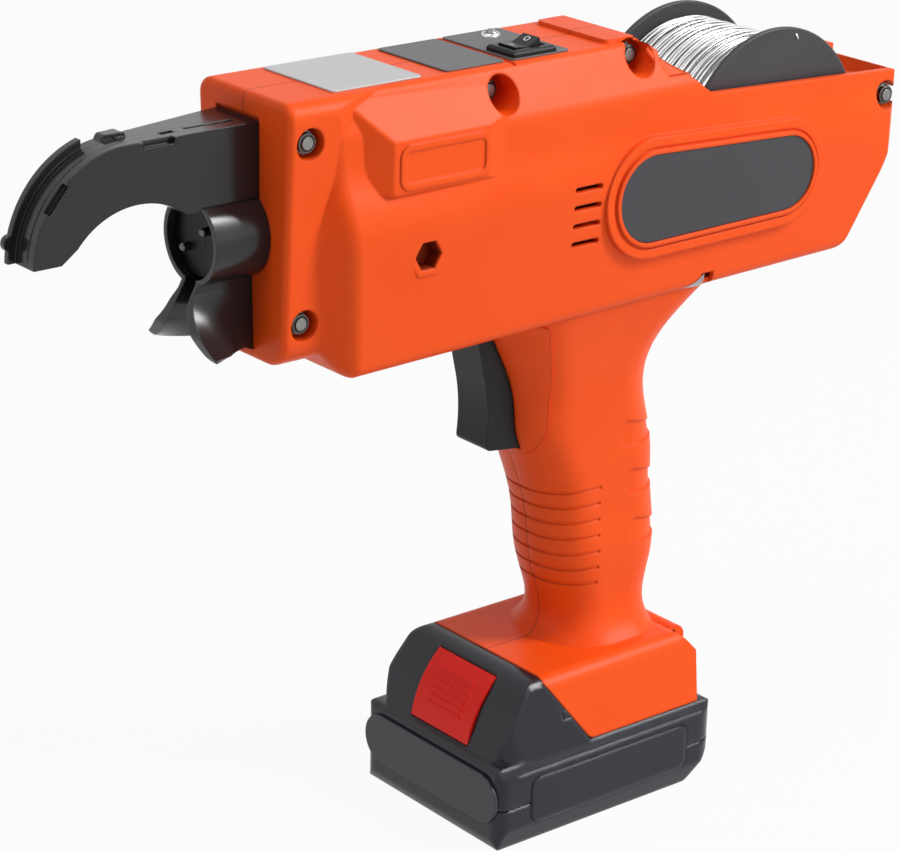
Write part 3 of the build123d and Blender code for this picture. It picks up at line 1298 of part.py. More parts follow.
def latch_rod(deep0, deep1, radius):
    return extrude(latch_place(deep0) * Circle(radius), amount=deep1 - deep0)


def latch_spring():
    spring = coil("latch_spring", 2.2, 1.3, 4, 0.5, 0.75, BUTTON_POCKET - BUTTON_SPRING_DEEP)
    return latch_place(BUTTON_SPRING_DEEP).location * spring


def terminal_block():
    body = block(FOOT_REAR_X + WALL, TERMINAL_X, -14, 14, 33, 49.5)
    body += block(TERMINAL_X - 5, TERMINAL_X - 1, -5, 5, 49, GRIP_LOW_Z + 1)
    for y in (-6, 6):
        body += block(TERMINAL_X - 1, BLADE_X, y - 0.4, y + 0.4, 37, 45)
    return body


def all_parts():
    left, right = housing_halves()
    upper, lower = battery_shells()
    plaque = along_y(plaque_face(0), PLAQUE_SEAT_Y, PLAQUE_SEAT_Y + PLAQUE_THICK)
    return {
        "left_housing": left,
        "right_housing": right,
        "housing_bolts": bolts(),
        "housing_nuts": nuts(),
        "handle_screws": screws(),
        "top_window_plate": top_plate(71.7, 105.6, 18),
        "top_info_plate": top_plate(38.5, 62.1, 17.3),
        "switch_plate": switch_plate(),
        "left_side_plaque": plaque,
        "right_side_plaque": flip(plaque),
        "rocker_frame": rocker_frame(),
        "rocker_paddle": rocker_paddle(),
        "status_lamp": status_lamp(),
        "control_board": control_board(),
        "trigger": trigger(),
        "trigger_switch": trigger_switch(),
        "trigger_spring": trigger_spring(),
        "guide_arm_core": arm_core(),
        "guide_arm_left_cheek": arm_left_cheek(),
        "guide_arm_right_cheek": arm_right_cheek(),
        "lower_jaw": lower_jaw(),
        "twist_head": twist_head(),
        "twist_pins": twist_pins(),
        "twist_spindle": rod_x(SPINDLE_R, 0, TWIST_Z, CARRIER_X, HEAD_X + HEAD_WIDTH),
        "front_bearing": bearing(FRONT_BEARING_R, SPINDLE_R + RUN, JAW_SPIGOT_X),
        "gearbox_bearing": bearing(BOX_BEARING_R, SPINDLE_R + RUN, GEARBOX_END_X - BEARING_WIDTH),
        "gearbox_case": gearbox_case(),
        "planet_carrier": planet_carrier(),
        "planet_gear_1": planet(PLANET_TURNS[0]),
        "planet_gear_2": planet(PLANET_TURNS[1]),
        "planet_gear_3": planet(PLANET_TURNS[2]),
        "sun_pinion": sun_pinion(),
        "twist_motor": twist_motor(),
        "feed_frame": feed_frame(),
        "feed_motor": feed_motor(),
        "feed_pinion": feed_pinion(),
        "feed_gear": feed_gear(),
        "drive_shaft": drive_shaft(),
        "drive_wheel": drive_wheel(),
        "idler_wheel": idler_wheel(),
        "idler_lever": idler_lever(),
        "lever_pin": lever_pin(),
        "pinch_spring": pinch_spring(),
        "inlet_bush": inlet_bush(),
        "guide_tube": guide_tube(),
        "cutter_block": cutter_block(),
        "cutter_drum": cutter_drum(),
        "wire_spool": wire_spool(),
        "wire_core": wire_core(),
        "wire_winding": wire_winding(),
        "spool_axle": spool_axle(),
        "battery_upper_shell": upper,
        "battery_lower_shell": lower,
        "battery_front_plate": battery_front_plate(),
        "battery_side_plates": battery_side_plates(),
        "battery_cells": battery_cells(),
        "release_button": release_button(),
        "latch_spring": latch_spring(),
        "battery_screws": battery_screws(),
        "terminal_block": terminal_block(),
    }


os.makedirs("parts", exist_ok=True)
for name, shape in all_parts().items():
    export_step(shape, f"parts/{name}.step")
    print(name, len(shape.solids()), round(shape.volume))
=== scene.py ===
"""Rebar tying tool: finishes, wound wire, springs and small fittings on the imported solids."""
import math
import random

import bmesh
import bpy
from mathutils import Matrix, Vector


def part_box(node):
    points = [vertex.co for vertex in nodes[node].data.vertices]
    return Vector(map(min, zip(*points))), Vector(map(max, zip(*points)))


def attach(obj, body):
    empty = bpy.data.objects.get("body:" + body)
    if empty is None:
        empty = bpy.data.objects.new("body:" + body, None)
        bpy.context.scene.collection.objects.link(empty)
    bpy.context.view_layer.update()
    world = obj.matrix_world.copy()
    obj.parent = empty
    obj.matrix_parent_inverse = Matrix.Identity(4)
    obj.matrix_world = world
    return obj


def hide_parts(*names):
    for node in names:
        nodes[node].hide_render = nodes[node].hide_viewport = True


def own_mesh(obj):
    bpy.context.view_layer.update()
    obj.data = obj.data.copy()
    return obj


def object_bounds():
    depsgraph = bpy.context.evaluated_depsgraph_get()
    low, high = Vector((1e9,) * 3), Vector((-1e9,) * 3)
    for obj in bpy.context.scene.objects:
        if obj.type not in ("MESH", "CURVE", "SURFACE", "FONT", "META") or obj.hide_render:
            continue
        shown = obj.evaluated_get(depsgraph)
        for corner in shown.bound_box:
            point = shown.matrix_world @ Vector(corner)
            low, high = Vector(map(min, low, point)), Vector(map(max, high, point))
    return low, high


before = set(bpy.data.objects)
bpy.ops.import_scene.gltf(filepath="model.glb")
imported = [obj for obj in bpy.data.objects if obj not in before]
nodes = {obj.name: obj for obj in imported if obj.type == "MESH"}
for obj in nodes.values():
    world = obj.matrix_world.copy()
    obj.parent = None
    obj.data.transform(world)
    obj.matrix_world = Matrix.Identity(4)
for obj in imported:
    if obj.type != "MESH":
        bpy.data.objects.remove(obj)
cad_low, cad_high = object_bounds()
scene = bpy.context.scene

MM = 0.001
TURN = 2 * math.pi


def linear(code):
    """An sRGB hex colour as linear red, green, blue and alpha."""
    parts = [int(code[i : i + 2], 16) / 255 for i in (1, 3, 5)]
    return [c / 12.92 if c <= 0.04045 else ((c + 0.055) / 1.055) ** 2.4 for c in parts] + [1]


def per_mm(size):
    """Texture scale at which a pattern repeats about every size millimetres."""
    return 1 / (size * MM)


def add(tree, kind, settings=(), **inputs):
    """Adds a node with its settings; inputs are named with _ for a space, or i0, i1 and so on by number."""
    node = tree.nodes.new(kind)
    for key, value in dict(settings).items():
        setattr(node, key, value)
    for key, value in inputs.items():
        numbered = key[0] == "i" and key[1:].isdigit()
        socket = node.inputs[int(key[1:]) if numbered else key.replace("_", " ")]
        if isinstance(value, bpy.types.NodeSocket):
            tree.links.new(value, socket)
        else:
            socket.default_value = value
    return node


def start(name):
    """A new material, its tree, its shader and the object's own coordinates."""
    material = bpy.data.materials.new(name)
    material.use_nodes = True
    tree = material.node_tree
    place = add(tree, "ShaderNodeTexCoord").outputs["Object"]
    return material, tree, tree.nodes["Principled BSDF"], place


def shade(shader, **values):
    """Sets constants on the shader's own sockets, named with _ for a space."""
    for key, value in values.items():
        shader.inputs[key.replace("_", " ")].default_value = value


def textured(tree, shader, pattern, dark, light, roughness, swing):
    """Lets one pattern carry the tone from dark to light and the roughness by swing either way."""
    tone = add(
        tree, "ShaderNodeMix", {"data_type": "RGBA"}, Factor=pattern, i6=linear(dark), i7=linear(light)
    )
    gloss = add(
        tree, "ShaderNodeMapRange", Value=pattern, To_Min=roughness - swing, To_Max=roughness + swing
    )
    tree.links.new(tone.outputs[2], shader.inputs["Base Color"])
    tree.links.new(gloss.outputs["Result"], shader.inputs["Roughness"])
    return tone.outputs[2]


# Plastics: width of the patches that differ in tone and gloss (mm), and how far the roughness
# swings in them; width of the gap where the housing's halves meet, whose shade is painted (m).
PATCH = 28
PATCH_SWING = 0.06
SEAM = 0.2 * MM


def plastic(name, dark, light, roughness, grain, depth, edge=0.35, seam_shade=None, **values):
    """Moulded plastic, film or lacquer with a fine grain, its width and depth in mm, a little uneven in tone.

    Sharp edges catch the light as if rounded by edge mm. With a seam shade colour, the shade in the thin gap
    where the two halves meet on the middle plane is painted in it.
    """
    material, tree, shader, place = start(name)
    patches = add(tree, "ShaderNodeTexNoise", Vector=place, Scale=per_mm(PATCH), Detail=3.0)
    tone = textured(tree, shader, patches.outputs["Fac"], dark, light, roughness, PATCH_SWING)
    # Painted shade: a darker line along the middle plane, where the halves meet.
    if seam_shade:
        side = add(tree, "ShaderNodeSeparateXYZ", Vector=place).outputs["Y"]
        aside = add(tree, "ShaderNodeMath", {"operation": "ABSOLUTE"}, i0=side).outputs[0]
        reach = add(tree, "ShaderNodeMapRange", Value=aside, From_Min=SEAM / 2, From_Max=SEAM)
        whole = reach.outputs["Result"]
        line = add(tree, "ShaderNodeMix", {"data_type": "RGBA"}, Factor=whole, i6=linear(seam_shade), i7=tone)
        tree.links.new(line.outputs[2], shader.inputs["Base Color"])
    pits = add(tree, "ShaderNodeTexNoise", Vector=place, Scale=per_mm(grain), Detail=2.0, Roughness=0.6)
    corner = add(tree, "ShaderNodeBevel", {"samples": 4}, Radius=edge * MM).outputs["Normal"]
    bump = add(
        tree, "ShaderNodeBump", Strength=0.5, Distance=depth * MM, Height=pits.outputs["Fac"], Normal=corner
    )
    tree.links.new(bump.outputs["Normal"], shader.inputs["Normal"])
    shade(shader, **values)
    return material


# Streaks in metal: the axis that they lie along, how many times longer than wide they are, depth (mm).
LENGTHWISE, SIDEWAYS, UPRIGHT = range(3)
STREAK_STRETCH = 25
STREAK_DEPTH = 0.01


def metal(name, dark, light, roughness, streak, along, swing=0.1):
    """Bare or plated metal with streaks of a width in mm, left by drawing, turning or grinding."""
    material, tree, shader, place = start(name)
    stretch = [per_mm(streak * (STREAK_STRETCH if axis == along else 1)) for axis in range(3)]
    lines = add(tree, "ShaderNodeMapping", Vector=place, Scale=stretch).outputs["Vector"]
    streaks = add(tree, "ShaderNodeTexNoise", Vector=lines, Scale=1.0, Detail=4.0, Roughness=0.65)
    height = streaks.outputs["Fac"]
    textured(tree, shader, height, dark, light, roughness, swing)
    bump = add(tree, "ShaderNodeBump", Strength=0.2, Distance=STREAK_DEPTH * MM, Height=height)
    tree.links.new(bump.outputs["Normal"], shader.inputs["Normal"])
    shade(shader, Metallic=1.0)
    return material


def clear_lens():
    """Moulded clear polycarbonate: it lets the light through and keeps a sharp shine."""
    material, tree, shader, place = start("clear_polycarbonate_lens")
    waves = add(tree, "ShaderNodeTexNoise", Vector=place, Scale=per_mm(2.0), Detail=1.0)
    bump = add(tree, "ShaderNodeBump", Strength=0.15, Distance=0.02 * MM, Height=waves.outputs["Fac"])
    tree.links.new(bump.outputs["Normal"], shader.inputs["Normal"])
    shade(shader, Base_Color=linear("#E9EDEA"), Roughness=0.08, IOR=1.585, Transmission_Weight=0.7)
    return material


def orange_abs(name, edge):
    """Housing plastic from a spark-eroded mould: an even satin orange with a wide, soft shine, and painted
    shade in the seam.
    """
    return plastic(
        name, "#F04F10", "#F65818", 0.42, 0.7, 0.05,
        edge=edge, seam_shade="#A8360A", IOR=1.53, Specular_IOR_Level=0.16,
    )


# Finishes. The real grain is 0.1 to 0.3 mm wide and the metals' streaks are under 0.1 mm. Both are too fine
# to show in the render, so the grain is drawn 0.6 to 1.5 mm wide and the streaks 0.4 to 1.4 mm.
ORANGE_ABS = orange_abs("orange_abs_spark_textured", 1.2)
# The same without the wide edge round: the thin roofs lie level with the hood and don't stand out from it.
ORANGE_ROOF = orange_abs("orange_abs_spark_textured_level", 0.25)
# Dark brown plastic for the cup in the hexagon hole: painted shade, so the hole reads as deep.
HOLE_SHADE_BROWN = plastic(
    "painted_hole_shade_brown", "#7E280A", "#882D0D", 0.5, 0.7, 0.03, IOR=1.53, Specular_IOR_Level=0.1
)
# Glass-filled nylon from a fine-blasted mould: near black with a soft grey sheen on the curves.
BLACK_NYLON = plastic(
    "black_glass_nylon_moulded", "#1E1E1F", "#242425", 0.2, 0.6, 0.015,
    edge=0.6, IOR=1.53, Specular_IOR_Level=0.35,
)
# ABS from the same kind of mould for the small black controls: black and a little duller.
BLACK_ABS = plastic(
    "black_abs_moulded", "#151516", "#1B1B1D", 0.36, 0.6, 0.03, IOR=1.53, Specular_IOR_Level=0.2
)
# Regrind plastic of the throw-away spool: dull charcoal with coarse grain.
SPOOL_ABS = plastic(
    "charcoal_abs_spool", "#3A3A3D", "#434347", 0.42, 0.8, 0.04, IOR=1.53, Specular_IOR_Level=0.25
)
# Polished mould: the battery's blue black shows soft window shapes.
BATTERY_ABS = plastic(
    "blue_black_pc_abs_moulded", "#1A1B25", "#20212C", 0.14, 0.6, 0.006,
    edge=2.2, IOR=1.55, Specular_IOR_Level=0.3,
)
# The same plastic from a satin field of the mould: the front plate is paler and its shine is spread.
PLATE_ABS = plastic(
    "blue_black_pc_abs_satin", "#272830", "#2D2E37", 0.28, 0.6, 0.01, IOR=1.55, Specular_IOR_Level=0.35
)
# Polished mould again: the release button is a clear red with a soft shine.
RED_ABS = plastic(
    "red_abs_polished", "#F62014", "#FE2A1C", 0.3, 1.2, 0.01, IOR=1.53, Specular_IOR_Level=0.2
)
# Polyester films, with only a faint unevenness from the glue beneath: the plaque's is dark and half glossy,
# the labels' are matt, and the silver one has a pale metal cast.
PLAQUE_FILM = plastic(
    "dark_polyester_film", "#2C2C31", "#38383D", 0.3, 0.9, 0.01, IOR=1.6, Specular_IOR_Level=0.4
)
GREY_FILM = plastic("grey_polyester_label", "#58585A", "#626264", 0.6, 0.9, 0.01, IOR=1.6)
SILVER_FILM = plastic(
    "silver_polyester_label", "#B8B8B8", "#C4C4C4", 0.5, 1.5, 0.02, IOR=1.6, Metallic=0.25
)
# Sleeve shrunk on the cells: plain blue, smooth and half glossy.
SLEEVE_PVC = plastic("blue_pvc_cell_sleeve", "#1C4E9E", "#2158AC", 0.35, 1.0, 0.01, IOR=1.53)
# Lacquer sprayed on the board: deep green, half glossy.
BOARD_MASK = plastic("green_solder_mask", "#0E4A26", "#13592F", 0.35, 1.0, 0.02, IOR=1.5)
# Pad-printed ink: flat white, not quite even.
MARK_INK = plastic("white_printing_ink", "#DEDEDC", "#E8E8E6", 0.55, 0.8, 0.01, IOR=1.5)
# Barrel-plated screws and bolts: mid grey with a soft shine, streaked along the bolts.
ZINC_STEEL = metal("zinc_plated_steel", "#747472", "#9C9C99", 0.3, 0.5, SIDEWAYS)
# Black-plated nuts: darker, with a sharper shine.
BLACK_ZINC = metal("black_zinc_plated_steel", "#585856", "#787875", 0.2, 0.5, SIDEWAYS)
# Soft tie wire: pale bright grey. The streaks cross the turns, so each turn glints unevenly.
WIRE_STEEL = metal("annealed_galvanised_wire", "#BCBCBB", "#DADAD9", 0.3, 0.9, SIDEWAYS)
# Cold-drawn wire: light grey with a clear shine.
SPRING_STEEL = metal("drawn_spring_wire", "#8F8F90", "#B5B5B6", 0.28, 0.4, LENGTHWISE)
# Ground shafts, gears and bearings: light grey, silky along the grinding lines.
BRIGHT_STEEL = metal("ground_bright_steel", "#A9A9AA", "#CFCFD0", 0.24, 0.5, LENGTHWISE)
# Hardened and ground twist pins: dark grey, silky.
TOOL_STEEL = metal("hardened_tool_steel_ground", "#4C4C4E", "#6C6C6E", 0.34, 0.5, LENGTHWISE)
# Blackened in hot salts: near black with a dull grey shine.
DARK_STEEL = metal("blackened_steel", "#1B1B1C", "#29292A", 0.42, 0.6, LENGTHWISE)
# As cast: pale grey, dull and a little cloudy.
CAST_ALLOY = metal("die_cast_zinc_alloy", "#8E8E8E", "#A6A6A5", 0.42, 1.4, UPRIGHT)
# Deep-drawn cans of the motors: mid grey with lines along the draw.
MOTOR_CAN = metal("drawn_motor_can", "#8C8C8E", "#A8A8AA", 0.32, 0.6, LENGTHWISE)
# Plated over a polished ring: nearly a mirror.
CHROME = metal("bright_chrome_plate", "#B8B8B8", "#D4D4D4", 0.14, 0.8, UPRIGHT, swing=0.04)
LENS = clear_lens()

GEARS = ["planet_gear_1", "planet_gear_2", "planet_gear_3", "sun_pinion", "feed_pinion", "feed_gear"]
SHAFTS = ["drive_shaft", "spool_axle", "lever_pin", "front_bearing", "gearbox_bearing"]
WIRE_GUIDES = ["inlet_bush", "guide_tube"]
FEED_STEELS = ["drive_wheel", "idler_wheel", "idler_lever", "cutter_block", "cutter_drum"]
FINISHES = [
    (ORANGE_ABS, ["left_housing", "right_housing"]),
    (ZINC_STEEL, ["housing_bolts", "handle_screws", "battery_screws"]),
    (BLACK_ZINC, ["housing_nuts"]),
    (SILVER_FILM, ["top_window_plate"]),
    (GREY_FILM, ["top_info_plate", "switch_plate"]),
    (PLAQUE_FILM, ["left_side_plaque", "right_side_plaque"]),
    (BLACK_ABS, ["rocker_frame", "rocker_paddle", "trigger", "trigger_switch", "terminal_block"]),
    (LENS, ["status_lamp"]),
    (BOARD_MASK, ["control_board"]),
    (BLACK_NYLON, ["guide_arm_core", "guide_arm_left_cheek", "guide_arm_right_cheek", "lower_jaw"]),
    (DARK_STEEL, ["twist_head", "twist_spindle", "planet_carrier"] + FEED_STEELS),
    (TOOL_STEEL, ["twist_pins"]),
    (BRIGHT_STEEL, GEARS + SHAFTS + WIRE_GUIDES),
    (CAST_ALLOY, ["gearbox_case", "feed_frame"]),
    (MOTOR_CAN, ["twist_motor", "feed_motor"]),
    (SPOOL_ABS, ["wire_spool"]),
    (WIRE_STEEL, ["wire_core"]),
    (BATTERY_ABS, ["battery_upper_shell", "battery_lower_shell", "battery_side_plates"]),
    (PLATE_ABS, ["battery_front_plate"]),
    (SLEEVE_PVC, ["battery_cells"]),
    (RED_ABS, ["release_button"]),
]
for finish, names in FINISHES:
    for node in names:
        nodes[node].data.materials.clear()
        nodes[node].data.materials.append(finish)

# Edge rounds (mm) of the pieces that are rounded in their geometry.
SOFT_EDGES = {
    "trigger": 0.5,
    "rocker_frame": 0.25,
    "rocker_paddle": 0.3,
    "wire_spool": 0.2,
    "battery_front_plate": 0.25,
    "battery_side_plates": 0.2,
    "housing_nuts": 0.2,
    "housing_bolts": 0.15,
    "top_window_plate": 0.12,
    "top_info_plate": 0.12,
    "switch_plate": 0.12,
    "left_side_plaque": 0.15,
    "right_side_plaque": 0.15,
    "twist_head": 0.2,
}
# How near two points are one (mm), the bend up to which faces count as one flat, the bend from which an
# edge is rounded (degrees), and the steps of the round.
WELD = 0.004
FLAT_BEND = 0.4
EDGE_BEND = 28
EDGE_STEPS = 3


def soften(node, radius):
    """Rounds a piece's edges by radius millimetres."""
    piece = nodes[node]
    mesh = piece.data
    if "custom_normal" in mesh.attributes:
        mesh.attributes.remove(mesh.attributes["custom_normal"])
    mesh.polygons.foreach_set("use_smooth", [True] * len(mesh.polygons))
    weld = piece.modifiers.new("one_skin", "WELD")
    weld.merge_threshold = WELD * MM
    flats = piece.modifiers.new("whole_flats", "DECIMATE")
    flats.decimate_type = "DISSOLVE"
    flats.angle_limit = math.radians(FLAT_BEND)
    edge = piece.modifiers.new("soft_edges", "BEVEL")
    edge.width = radius * MM
    edge.segments = EDGE_STEPS
    edge.limit_method = "ANGLE"
    edge.angle_limit = math.radians(EDGE_BEND)
    edge.use_clamp_overlap = True
    even = piece.modifiers.new("even_shading", "WEIGHTED_NORMAL")
    even.keep_sharp = True


for node, radius in SOFT_EDGES.items():
    soften(node, radius)


def piece_from(name, mesh, finish, carrier):
    """A visual piece of one finish that moves with the body that carries it."""
    piece = bpy.data.objects.new(name, mesh)
    scene.collection.objects.link(piece)
    mesh.materials.append(finish)
    mesh.polygons.foreach_set("use_smooth", [True] * len(mesh.polygons))
    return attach(piece, carrier)


# Bend from which an edge of a new piece stays sharp (degrees).
SHARP_BEND = 35


def piece_of(name, body, finish, carrier):
    """A visual piece from a finished bmesh, its sharp edges kept."""
    bmesh.ops.recalc_face_normals(body, faces=body.faces)
    mesh = bpy.data.meshes.new(name)
    body.to_mesh(mesh)
    body.free()
    mesh.set_sharp_from_angle(angle=math.radians(SHARP_BEND))
    return piece_from(name, mesh, finish, carrier)


def tube_mesh(name, points, radius):
    """Round wire along the points, its ends closed."""
    line = bpy.data.curves.new(name, "CURVE")
    line.dimensions = "3D"
    line.bevel_depth = radius
    line.bevel_resolution = 2
    line.use_fill_caps = True
    spline = line.splines.new("NURBS")
    spline.points.add(len(points) - 1)
    for point, place in zip(spline.points, points):
        point.co = (*place, 1)
    spline.order_u = 3
    spline.use_endpoint_u = True
    spline.resolution_u = 2
    holder = bpy.data.objects.new(name, line)
    mesh = bpy.data.meshes.new_from_object(holder)
    bpy.data.objects.remove(holder)
    return mesh


def belt(body, here, there):
    """Adds to a bmesh the faces between two closed rings of its vertices."""
    for i in range(len(here)):
        j = (i + 1) % len(here)
        body.faces.new((here[i], here[j], there[j], there[i]))


def lofted(body, rings):
    """Adds to a bmesh the skin through closed rings of points (mm), its two ends closed."""
    rings = [[body.verts.new(Vector(spot) * MM) for spot in ring] for ring in rings]
    for here, there in zip(rings, rings[1:]):
        belt(body, here, there)
    body.faces.new(rings[0])
    body.faces.new(rings[-1])


# Steps of a turned ring.
RING_STEPS = 40


def lathed(body, profile, place):
    """Adds to a bmesh the ring that a closed profile of radius and height (mm) sweeps about place's Z."""
    rings = []
    for step in range(RING_STEPS):
        angle = TURN * step / RING_STEPS
        spots = [Vector((r * math.cos(angle), r * math.sin(angle), z)) for r, z in profile]
        rings.append([body.verts.new((place @ spot) * MM) for spot in spots])
    for here, there in zip(rings, rings[1:] + rings[:1]):
        belt(body, here, there)


def read_off(table, place):
    """Value at a place between the rows of a table of places and values."""
    for (low_place, low), (high_place, high) in zip(table, table[1:]):
        if place <= high_place:
            return low + (high - low) * (place - low_place) / (high_place - low_place)
    return table[-1][1]


# Tie wire at its real 0.9 mm (m). Layers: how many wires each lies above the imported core, and its turns.
WIRE = 0.9 * MM
LAYERS = [(0.5, 44), (1.3, 23), (2.0, 17), (2.7, 13)]
# Steps of a turn, room kept at the flanges, how far loose turns lean and swell (m), the swell's rate.
TURN_STEPS = 24
FLANGE_ROOM = 0.7 * WIRE
LOOSE_SWAY = 0.5 * MM
LOOSE_SWELL = 0.12 * MM
SWELL_RATE = 2.3


def wound_wire():
    """Tie wire on the spool: a close layer, then loose passes that cross it both ways."""
    low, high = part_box("wire_core")
    centre = (low + high) / 2
    core = (high.z - low.z) / 2
    span = (high.y - low.y) / 2 - FLANGE_ROOM
    draw = random.Random(7)
    points = []
    side = 1
    for layer, turns in LAYERS:
        loose = layer > LAYERS[0][0]
        phase = draw.uniform(0, TURN)
        lean = [draw.uniform(-LOOSE_SWAY, LOOSE_SWAY) * loose for _ in range(turns + 2)]
        for step in range(turns * TURN_STEPS):
            turn = step / TURN_STEPS
            whole = int(turn)
            sway = lean[whole] + (lean[whole + 1] - lean[whole]) * (turn - whole)
            y = max(-span, min(span, -span + 2 * span * turn / turns + sway))
            ring = core + layer * WIRE + LOOSE_SWELL * math.sin(phase + SWELL_RATE * turn) * loose
            angle = TURN * turn
            points.append(centre + Vector((ring * math.cos(angle), side * y, ring * math.sin(angle))))
        side = -side
    mesh = tube_mesh("wire_winding_full", points, WIRE / 2)
    winding = piece_from("wire_winding_full", mesh, WIRE_STEEL, "spool")
    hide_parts("wire_winding")


# End of the wire, tucked through the left flange and bent flat on it, and its radius (mm).
WIRE_END = [(-81.0, 23.4, 259.6), (-81.0, 24.6, 259.5), (-81.3, 25.05, 258.9), (-81.8, 25.05, 257.8)]
WIRE_END_RADIUS = 0.4


def wire_end():
    mesh = tube_mesh("wire_end", [Vector(spot) * MM for spot in WIRE_END], WIRE_END_RADIUS * MM)
    piece_from("wire_end", mesh, WIRE_STEEL, "spool")


def coil_spring(node, carrier, base, tip, radius, wire, turns):
    """Coil spring from base to tip (mm) with closed ends, carried by its body."""
    base, tip = Vector(base) * MM, Vector(tip) * MM
    axis = (tip - base).normalized()
    across = axis.orthogonal().normalized()
    beside = axis.cross(across)
    wire *= MM
    length = (tip - base).length - wire
    free = (length - 2 * wire) / (turns - 2)
    points = []
    for step in range(turns * TURN_STEPS + 1):
        turn = step / TURN_STEPS
        closed = min(turn, 1) + max(0, turn - turns + 1)
        opened = max(0, min(turn - 1, turns - 2))
        rise = wire * closed + free * opened
        angle = TURN * turn
        ring = across * math.cos(angle) + beside * math.sin(angle)
        points.append(base + axis * (rise + wire / 2) + ring * radius * MM)
    mesh = tube_mesh(node + "_coil", points, wire / 2)
    piece = piece_from(node + "_coil", mesh, SPRING_STEEL, carrier)
    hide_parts(node)
    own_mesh(piece)


# Rocker paddle at rest: its pivot (mm), its tilt and the slope of its two halves (degrees), and its height
# above the pivot at the middle (mm).
ROCKER_PIVOT = (26.4, 10.55, 263.2)
ROCKER_TILT = 10
ROCKER_SLOPE = 16.1
PADDLE_HEIGHT = 4.6
# Marks on the slopes: how far each lies from the middle and stands out, the ring's profile of radius and
# height, and the bar's end radius, half length between the end centres, and steps (mm).
MARK_X = 3.2
MARK_PROUD = 0.06
MARK_RING = [(0.75, -0.1), (0.75, MARK_PROUD), (1.2, MARK_PROUD), (1.2, -0.1)]
BAR_ROUND, BAR_HALF, BAR_STEPS = 0.25, 0.9, 16


def rocker_marks():
    """The usual ring and bar of a power switch, printed on the paddle's two slopes."""
    body = bmesh.new()
    slope = math.radians(ROCKER_SLOPE)
    pivot = Matrix.Translation(ROCKER_PIVOT) @ Matrix.Rotation(math.radians(ROCKER_TILT), 4, "Y")
    height = PADDLE_HEIGHT + MARK_X * math.tan(slope)
    rear, front = [
        pivot @ Matrix.Translation((end * MARK_X, 0, height)) @ Matrix.Rotation(-end * slope, 4, "Y")
        for end in (-1, 1)
    ]
    lathed(body, MARK_RING, rear)
    bar = []
    for step in range(BAR_STEPS):
        angle = TURN * (step + 0.5) / BAR_STEPS
        y = BAR_ROUND * math.sin(angle) + math.copysign(BAR_HALF, math.sin(angle))
        bar.append((BAR_ROUND * math.cos(angle), y))
    lofted(body, [[front @ Vector((x, y, z)) for x, y in bar] for z in (0, MARK_PROUD)])
    piece_of("rocker_marks", body, MARK_INK, "rocker")


# Chromed ring round the lamp, on the switch plate: centre and profile of radius and height (mm).
LAMP_PLACE = (21, -11, 265.6)
BEZEL = [(2.3, -0.1), (2.3, 0.6), (2.5, 0.85), (2.8, 0.85), (3.1, 0.5), (3.2, -0.1)]


def lamp_bezel():
    body = bmesh.new()
    lathed(body, BEZEL, Matrix.Translation(LAMP_PLACE))
    piece_of("lamp_bezel", body, CHROME, "tool")


# Lock nuts in the left half: X, Z and seat from the middle plane; their height and insert profile (mm).
NUTS = [(118, 252.5, 17), (118, 195.5, 14), (45, 257, 12.5), (-13, 260.3, 12.5), (-122.3, 233.6, 24)]
NUT_HEIGHT = 5.0
INSERT = [(2.05, -0.3), (2.05, 0.04), (2.2, 0.1), (2.55, 0.1), (2.7, 0.04), (2.7, -0.3)]


def nut_inserts():
    """Nylon rings that lock the nuts, seen round the bolts' ends."""
    body = bmesh.new()
    outward = Matrix.Rotation(-TURN / 4, 4, "X")
    for x, z, seat in NUTS:
        lathed(body, INSERT, Matrix.Translation((x, seat + NUT_HEIGHT, z)) @ outward)
    piece_of("nut_inserts", body, BLACK_NYLON, "tool")


# Dark cup that paints the shade inside the hexagon hole: the hole's axis (X, Z), and the cup's corner radius
# and depth (Y) at its foot, its outer rim, its inner rim and its floor (mm).
SHADE_CUP_X, SHADE_CUP_Z = 77.8, 212.7
SHADE_CUP = [(5.15, 24.1), (5.15, 29.3), (4.85, 29.3), (4.75, 24.6)]


def hex_hole_shade():
    """Hexagon cup, open outward, whose dark lining paints the shade inside the hole."""
    body = bmesh.new()
    corners = [TURN * corner / 6 for corner in range(6)]
    rings = []
    for radius, y in SHADE_CUP:
        rings.append([(SHADE_CUP_X + radius * math.cos(a), y, SHADE_CUP_Z + radius * math.sin(a)) for a in corners])
    lofted(body, rings)
    piece_of("hex_hole_shade", body, HOLE_SHADE_BROWN, "tool")


# Spring leaf beside the notch under the left flank: from the notch to the tip along X, its upper and lower
# edge at the notch and the lower one at the tip (Z), its height at the tip (mm), and how fast it tapers.
LEAF_REAR, LEAF_TIP = -41.0, -32.4
LEAF_TOP, LEAF_LOW, LEAF_END = 184.4, 179.6, 180.1
LEAF_TIP_HEIGHT, LEAF_TAPER = 0.15, 1.6
# How far out the flank lies at each height (Z, Y), how far the leaf stands out of it and goes in (mm).
FLANK_OUT = [(179.0, 25.2), (180.0, 26.05), (181.0, 27.2), (182.0, 27.8), (183.0, 28.05), (185.0, 28.2)]
LEAF_PROUD, LEAF_SUNK = 0.3, 0.3


